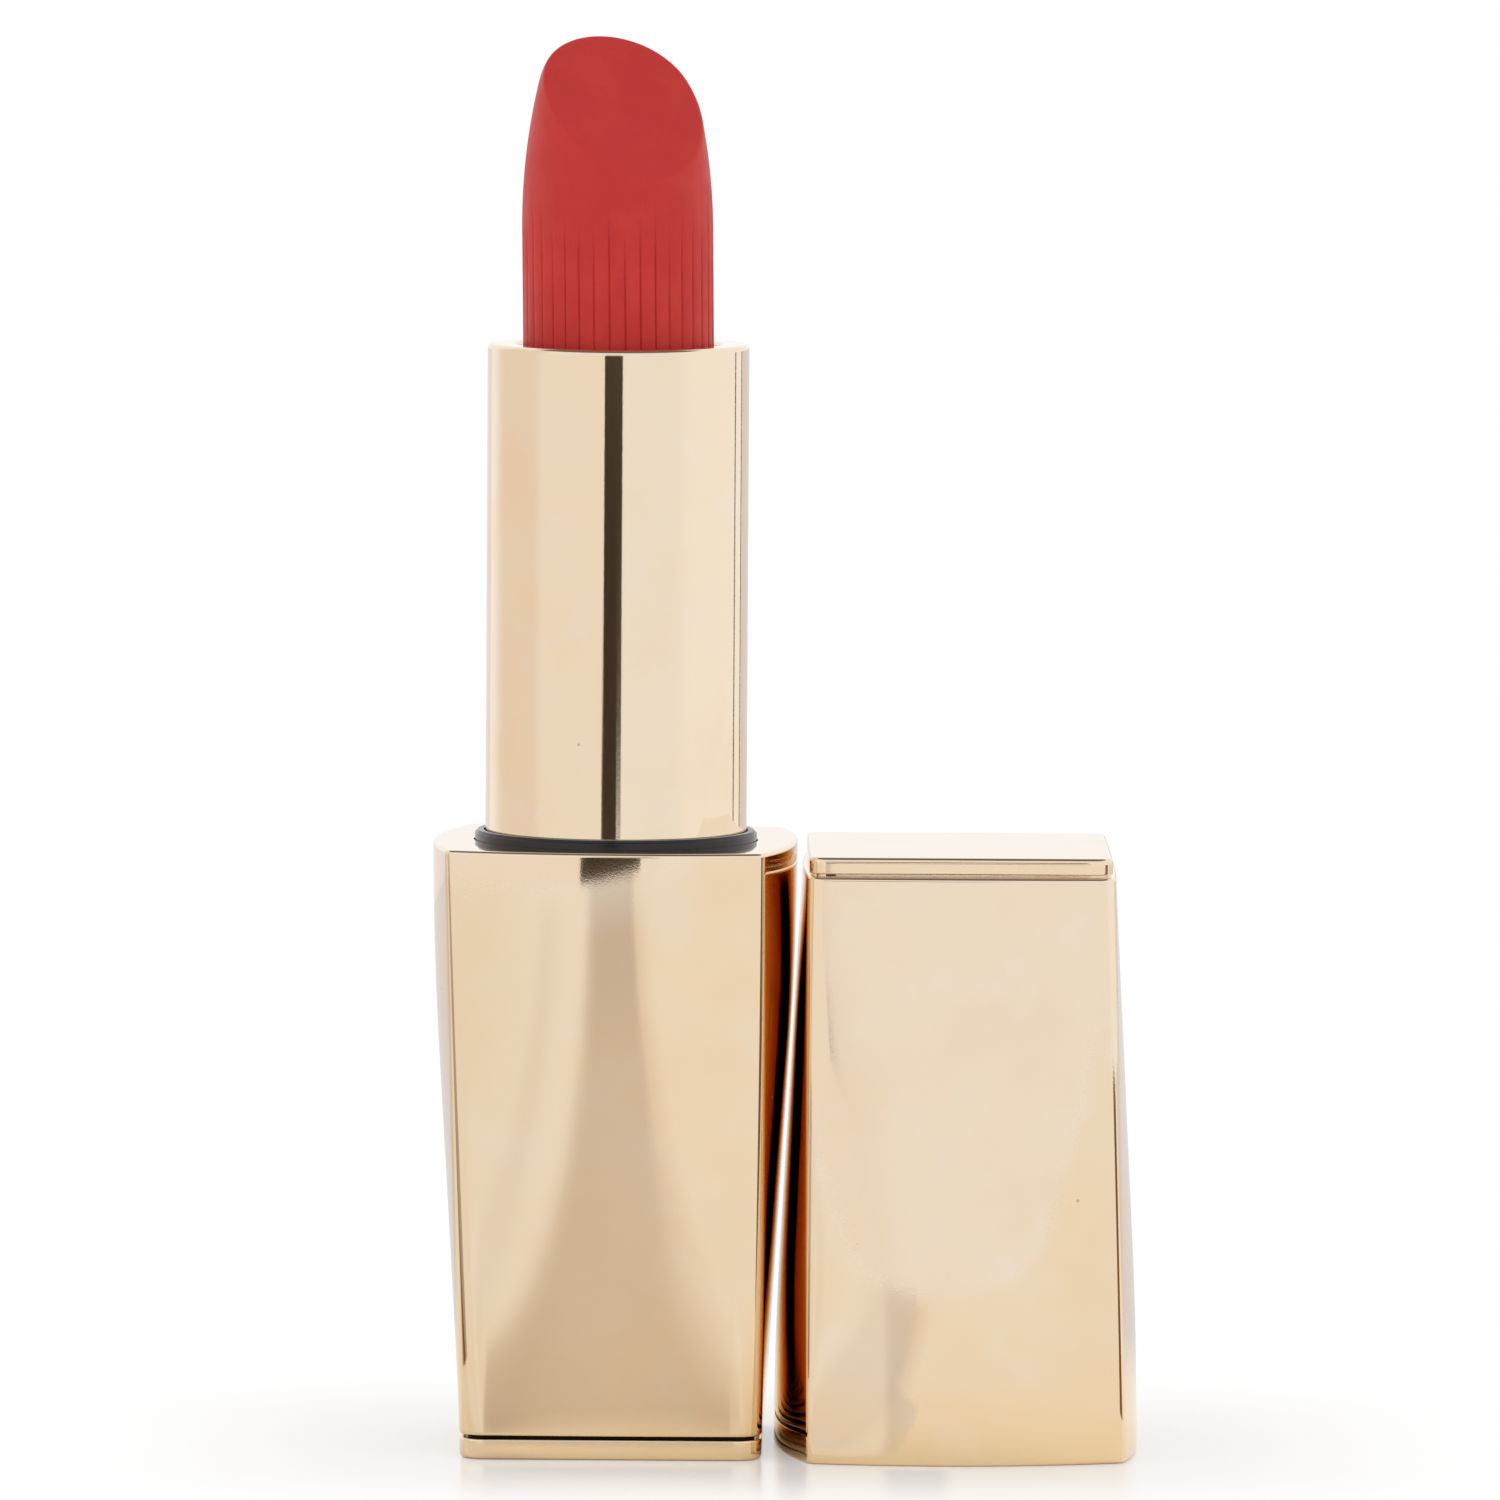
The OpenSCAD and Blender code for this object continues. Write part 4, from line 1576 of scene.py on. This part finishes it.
# ------------------------------------------------------------------------------------------------
# Studio
# ------------------------------------------------------------------------------------------------

# Millimetres in front of the base between which the lanes and the shine set in.
FRONT_EDGE = (6.0, 14.0)
WHITE: Colour = (1.0, 1.0, 1.0)
DARK_ROOM: Colour = (0.05, 0.035, 0.022)
SIDE_ROOM: Colour = (0.1, 0.05, 0.02)


@dataclass(frozen=True)
class Gap:
    """A darker opening in the white tent around the object, which only its polished faces show.

    Angles are in degrees: bearing from -Y towards +X, and height over the horizon.
    """

    bearing: tuple[float, float]
    height: tuple[float, float]
    colour: Colour
    softness: float

    def mask(self, graph: Graph, bearing: bpy.types.NodeSocket,
             height: bpy.types.NodeSocket) -> bpy.types.NodeSocket:
        """Masks the opening, with soft sides.

        Args:
            graph: The world's graph.
            bearing: The bearing of a direction.
            height: Its height over the horizon.

        Returns:
            The mask, 1 inside the opening.
        """
        share: object = 1.0
        soft = self.softness
        for value, (low, high) in ((bearing, self.bearing), (height, self.height)):
            share = graph.math("MULTIPLY", share, graph.fade(value, low - soft, low + soft))
            share = graph.math("MULTIPLY", share, graph.fade(value, high + soft, high - soft))
        return share


@dataclass(frozen=True)
class Lane:
    """A painted dark lane of table top in front of the base, which only polished faces show,
    as a painted reflection of shade.

    At d millimetres in front, each of its sides is at c0 + c1 d + c2 d² across, and they blur
    further out.
    """

    left: tuple[float, float, float]
    right: tuple[float, float, float]
    share: float
    softness: float = 1.5
    blur: float = 0.05
    far_end: tuple[float, float] = (340.0, 240.0)

    def side(self, graph: Graph, away: bpy.types.NodeSocket,
             curve: tuple[float, float, float]) -> bpy.types.NodeSocket:
        """Gives how far across one side runs at a distance in front.

        Args:
            graph: The material's graph.
            away: How far the point lies in front of the base, in millimetres.
            curve: The side's c0, c1 and c2.

        Returns:
            The side's place along X, in millimetres.
        """
        squared = graph.math("MULTIPLY", away, away)
        straight = graph.math("MULTIPLY_ADD", away, curve[1], curve[0])
        return graph.math("MULTIPLY_ADD", squared, curve[2], straight)

    def mask(self, graph: Graph, across: bpy.types.NodeSocket,
             away: bpy.types.NodeSocket) -> bpy.types.NodeSocket:
        """Masks the lane.

        Args:
            graph: The floor material's graph.
            across: The point's place along X, in millimetres.
            away: How far the point lies in front of the base, in millimetres.

        Returns:
            The mask, from 0 to the lane's share.
        """
        left, right = self.side(graph, away, self.left), self.side(graph, away, self.right)
        soft = graph.math("MULTIPLY_ADD", away, self.blur, self.softness)
        from_left = graph.fade(across, graph.math("SUBTRACT", left, soft),
                               graph.math("ADD", left, soft))
        to_right = graph.fade(across, graph.math("ADD", right, soft),
                              graph.math("SUBTRACT", right, soft))
        inside = graph.math("MULTIPLY", from_left, to_right)
        ends = graph.math("MULTIPLY", graph.fade(away, *FRONT_EDGE),
                          graph.fade(away, *self.far_end))
        return graph.math("MULTIPLY", graph.math("MULTIPLY", inside, ends), self.share)


@dataclass
class TableTop:
    """Pale round table top: nearly white where it is seen, and tinted where polished faces show it,
    with painted reflections of light and shade.

    Distances are in metres, but for those across and in front of the base, in millimetres.
    """

    centre_x: float
    radius: float = 0.371
    edge_points: int = 96
    roughness: float = 0.2
    refraction: float = 1.45
    seen: Colour = (0.93, 0.9, 0.87)
    # Colours that only polished faces see, as painted reflections of light and shade.
    open_ground: Colour = (0.94, 0.905, 0.83)
    # Painted warm bounce light near the object.
    near: Colour = (0.99, 0.9, 0.7)
    near_reach: float = 0.07
    rim: Colour = (0.95, 0.935, 0.91)
    rim_reach: tuple[float, float] = (0.29, 0.34)
    # A warmer painted reflection tone to the left front.
    left: Colour = (0.87, 0.79, 0.65)
    left_slant: tuple[float, float] = (0.3, 0.7)
    # Painted shade on the far side of the object.
    shade_behind: Colour = (0.57, 0.53, 0.52)
    behind_reach: tuple[float, float] = (0.02, 0.07)
    lane_start: float = 10.0
    # Painted shade of the dark lanes that the base's front reflects.
    painted_lane_shade: Colour = (0.61, 0.456, 0.34)
    lanes: tuple[Lane, ...] = (
        Lane(left=(-8.2, -0.12, -0.0001), right=(11.5, -0.017, 0.0), share=0.42),
        Lane(left=(-5.4, -0.385, 0.0), right=(-3.4, -0.31, 0.0), share=0.3),
    )
    # Painted shade of the wedges that the outer creases reflect.
    painted_flank_shade: Colour = (0.2, 0.11, 0.04)
    flank_start: float = 0.05
    flank_low: tuple[float, float] = (0.06, 0.12)
    flank_high: tuple[float, float] = (0.5, 0.42)
    shadow_reach: tuple[float, float] = (0.001, 0.025)
    shadow_share: float = 0.3
    level: float = 0.5
    polish: float = 0.6
    polish_bend: tuple[float, float] = (40.0, 70.0)
    polish_limit: tuple[float, float] = (17.0, 9.0)
    polish_slope: float = -0.045
    polish_edge: float = 6.0

    def top(self) -> bpy.types.Object:
        """Makes the flat round top.

        Returns:
            The top.
        """
        turn = np.linspace(0, 2 * np.pi, self.edge_points, endpoint=False)
        edge = self.radius * np.stack([np.cos(turn), np.sin(turn), 0 * turn], -1)
        edge += (self.centre_x, 0, 0)
        mesh = bpy.data.meshes.new("floor")
        mesh.from_pydata(edge.tolist(), [], [tuple(range(len(edge)))])
        floor = bpy.data.objects.new("floor", mesh)
        bpy.context.scene.collection.objects.link(floor)
        return floor

    @staticmethod
    def reach(graph: Graph, places: Sockets) -> bpy.types.NodeSocket:
        """Gives how far a point lies outside the object's box: the root of the sides' squares.

        Args:
            graph: The material's graph.
            places: The point's coordinates.

        Returns:
            The distance, in metres.
        """
        low, high = np.array(CAD_BOX[0]), np.array(CAD_BOX[1])
        squares = []
        for axis in (0, 1):
            middle, half = float(low[axis] + high[axis]) / 2, float(high[axis] - low[axis]) / 2
            away = graph.math("ABSOLUTE", graph.math("SUBTRACT", places[axis], middle))
            side = graph.math("MAXIMUM", graph.math("SUBTRACT", away, half), 0.0)
            squares.append(graph.math("POWER", side, 2.0))
        return graph.math("SQRT", graph.math("ADD", *squares))

    def gloss(self, graph: Graph, across: bpy.types.NodeSocket, away: bpy.types.NodeSocket,
              glossy: bpy.types.NodeSocket) -> bpy.types.NodeSocket:
        """Gives how much the top shines: plainly, but for its front as polished faces show it.

        There it shines left of a limit that draws in with the distance, so that the tent's dark
        opening shows in the base and hardly in the cap.

        Args:
            graph: The material's graph.
            across: The point's place along X, in millimetres.
            away: How far the point lies in front of the base, in millimetres.
            glossy: Whether a polished face shows the point.

        Returns:
            The level of the shine.
        """
        past = graph.math("SUBTRACT", away, self.polish_bend[1])
        close = graph.fade(away, *self.polish_bend, *self.polish_limit)
        limit = graph.math("MULTIPLY_ADD", graph.math("MAXIMUM", past, 0.0), self.polish_slope,
                           close)
        inner = graph.math("SUBTRACT", limit, self.polish_edge)
        shine = graph.fade(across, limit, inner, 0.0, self.polish)
        shine = graph.math("MULTIPLY", shine, graph.fade(away, *FRONT_EDGE))
        ahead = graph.math("MULTIPLY", graph.math("GREATER_THAN", away, 0.0), glossy)
        extra = graph.math("MULTIPLY", graph.math("SUBTRACT", shine, self.level), ahead)
        return graph.math("ADD", extra, self.level)

    def flanks(self, graph: Graph, x: bpy.types.NodeSocket,
               y: bpy.types.NodeSocket) -> bpy.types.NodeSocket:
        """Masks the two wedges of top, painted dark, that the outer creases show as a painted
        reflection of shade: low ratios of front to side.

        Args:
            graph: The material's graph.
            x: The point's place along X, in metres.
            y: Its place along Y, in metres.

        Returns:
            The mask.
        """
        aside = graph.math("ABSOLUTE", graph.math("SUBTRACT", x, self.centre_x))
        ratio = graph.math("DIVIDE", graph.math("MULTIPLY", y, -1.0), aside)
        wedge = graph.math("MULTIPLY", graph.fade(ratio, *self.flank_low),
                           graph.fade(ratio, *self.flank_high))
        return graph.math("MULTIPLY", wedge, graph.math("GREATER_THAN", aside, self.flank_start))

    def tint(self, graph: Graph, places: Sockets,
             reach: bpy.types.NodeSocket, across: bpy.types.NodeSocket,
             away: bpy.types.NodeSocket) -> bpy.types.NodeSocket:
        """Gives the colour that polished faces show, a painted reflection: painted warm bounce light
        near the object, paler towards the rim, warmer to the left front, painted shade past the
        object's back, and painted dark lanes and wedges.

        Args:
            graph: The material's graph.
            places: The point's coordinates.
            reach: How far it lies outside the object's box.
            across: Its place along X, in millimetres.
            away: How far it lies in front of the base, in millimetres.

        Returns:
            The colour.
        """
        x, y = places[0], places[1]
        slanted = graph.fade(graph.math("DIVIDE", x, y), *self.left_slant)
        leftwards = graph.math("MULTIPLY", slanted, graph.math("LESS_THAN", y, 0.0))
        tint = graph.mix(graph.fade(reach, 0.0, self.near_reach), self.near, self.open_ground)
        tint = graph.mix(graph.fade(reach, *self.rim_reach), tint, self.rim)
        tint = graph.mix(leftwards, tint, self.left)
        tint = graph.mix(graph.fade(y, *self.behind_reach), tint, self.shade_behind)
        for lane in self.lanes:
            tint = graph.mix(lane.mask(graph, across, away), tint, self.painted_lane_shade)
        return graph.mix(self.flanks(graph, x, y), tint, self.painted_flank_shade)

    def build(self) -> None:
        """Builds the top, its finish and the soft shadow that fades into white around the object."""
        floor = self.top()
        material, graph, shader = start_material("white table top")
        shader.inputs["Roughness"].default_value = self.roughness
        shader.inputs["IOR"].default_value = self.refraction
        apart = graph.add("SeparateXYZ")
        graph.join(graph.places(), apart.inputs[0])
        places, rays = apart.outputs, graph.add("LightPath").outputs
        reach = self.reach(graph, places)
        across = graph.math("MULTIPLY", places[0], 1.0 / MM)
        away = graph.math("MULTIPLY_ADD", places[1], -1.0 / MM, -self.lane_start)
        shine = self.gloss(graph, across, away, rays["Is Glossy Ray"])
        graph.join(shine, shader.inputs["Specular IOR Level"])
        tint = self.tint(graph, places, reach, across, away)
        # Polished faces see the painted reflection tint; camera and diffuse rays see the plain top.
        tint = graph.mix(rays["Is Glossy Ray"], self.seen, tint)
        graph.join(tint, shader.inputs["Base Color"])
        far = graph.fade(reach, *self.shadow_reach, self.shadow_share, 1.0)
        blend = graph.add("MixShader")
        graph.join(graph.math("MULTIPLY", far, rays["Is Camera Ray"]), blend.inputs[0])
        graph.join(shader.outputs[0], blend.inputs[1])
        graph.join(graph.add("Emission").outputs[0], blend.inputs[2])
        out = next(n for n in material.node_tree.nodes if n.type == "OUTPUT_MATERIAL")
        graph.join(blend.outputs[0], out.inputs["Surface"])
        floor.data.materials.append(material)


@dataclass
class Studio:
    """White tent with a few darker openings, a pale table top and the camera."""

    focal_length: float = 360.0
    sensor_width: float = 36.0
    distance: float = 0.95
    elevation: float = 4.6
    roll: float = 0.35
    aim: Vector = field(default_factory=lambda: Vector((0.00846, 0.0, 0.04417)))
    bounces: int = 20
    glossy_bounces: int = 16
    diffuse_bounces: int = 5
    gaps: tuple[Gap, ...] = (
        Gap((-70.0, 60.0), (-90.0, 45.0), (0.94, 0.945, 0.945), softness=12.0),
        Gap((-130.0, -70.0), (-90.0, 45.0), (0.88, 0.8, 0.73), softness=12.0),
        Gap((-70.0, -8.0), (-90.0, 0.0), (0.94, 0.9, 0.86), softness=4.0),
        Gap((-11.4, 4.4), (-4.88, -2.2), DARK_ROOM, softness=0.04),
        Gap((-12.5, 0.4), (-60.0, -4.4), DARK_ROOM, softness=0.06),
        Gap((-10.4, 3.0), (6.5, 14.0), (0.1, 0.04, 0.01), softness=1.0),
        Gap((126.5, 128.3), (-9.0, 0.5), SIDE_ROOM, softness=0.3),
        Gap((140.0, 141.8), (-9.0, 0.5), SIDE_ROOM, softness=0.3),
        Gap((142.5, 200.0), (-80.0, 0.5), (0.76, 0.72, 0.73), softness=0.8),
        Gap((-200.0, -150.0), (-80.0, 0.5), (0.88, 0.82, 0.84), softness=0.8),
        Gap((-200.0, 200.0), (52.0, 118.0), (0.16, 0.15, 0.14), softness=4.0),
    )

    def tent(self) -> None:
        """Builds the world: plain white, and for glossy rays alone the tent with its openings."""
        world = bpy.data.worlds.new("tent")
        bpy.context.scene.world = world
        world.use_nodes = True
        graph = Graph(world.node_tree)
        background = next(n for n in world.node_tree.nodes if n.type == "BACKGROUND")
        apart = graph.add("SeparateXYZ")
        graph.join(graph.add("TexCoord").outputs["Generated"], apart.inputs[0])
        x, y, z = apart.outputs
        front = graph.math("MULTIPLY", y, -1.0)
        bearing = graph.math("DEGREES", graph.math("ARCTAN2", x, front))
        height = graph.math("DEGREES", graph.math("ARCSINE", z))
        colour: object = WHITE
        for gap in self.gaps:
            colour = graph.mix(gap.mask(graph, bearing, height), colour, gap.colour)
        glossy = graph.add("LightPath").outputs["Is Glossy Ray"]
        graph.join(graph.mix(glossy, WHITE, colour), background.inputs["Color"])
        background.inputs["Strength"].default_value = 1.0

    def camera(self) -> None:
        """Makes the camera: a long lens a little above the table, looking along +Y."""
        data = bpy.data.cameras.new("camera")
        data.lens = self.focal_length
        data.sensor_width = self.sensor_width
        data.clip_start, data.clip_end = 0.01, 20.0
        camera = bpy.data.objects.new("camera", data)
        up = math.radians(self.elevation)
        back = Vector((0.0, -math.cos(up), math.sin(up)))
        look = (-back).to_track_quat("-Z", "Y").to_matrix()
        look = look @ Matrix.Rotation(math.radians(self.roll), 3, "Z")
        camera.matrix_world = Matrix.Translation(self.aim + back * self.distance) @ look.to_4x4()
        bpy.context.scene.collection.objects.link(camera)
        bpy.context.scene.camera = camera

    def build(self) -> None:
        """Builds the studio, with enough bounces for gold that faces gold."""
        self.tent()
        TableTop(self.aim.x).build()
        self.camera()
        scene = bpy.context.scene
        scene.view_settings.view_transform = "Standard"
        scene.cycles.max_bounces = self.bounces
        scene.cycles.glossy_bounces = self.glossy_bounces
        scene.cycles.diffuse_bounces = self.diffuse_bounces


def main() -> None:
    """Builds the object and its studio, in order."""
    logging.basicConfig(level=logging.INFO, format="%(name)s %(message)s")
    Studio().build()
    finishes = Finishes(SharedGroups())
    for assembly in (BaseCase(), Collar(), Refill(), Stick(), Cap()):
        assembly.build(finishes)
        LOG.info("%s built", type(assembly).__name__)


if __name__ == "__main__":
    main()
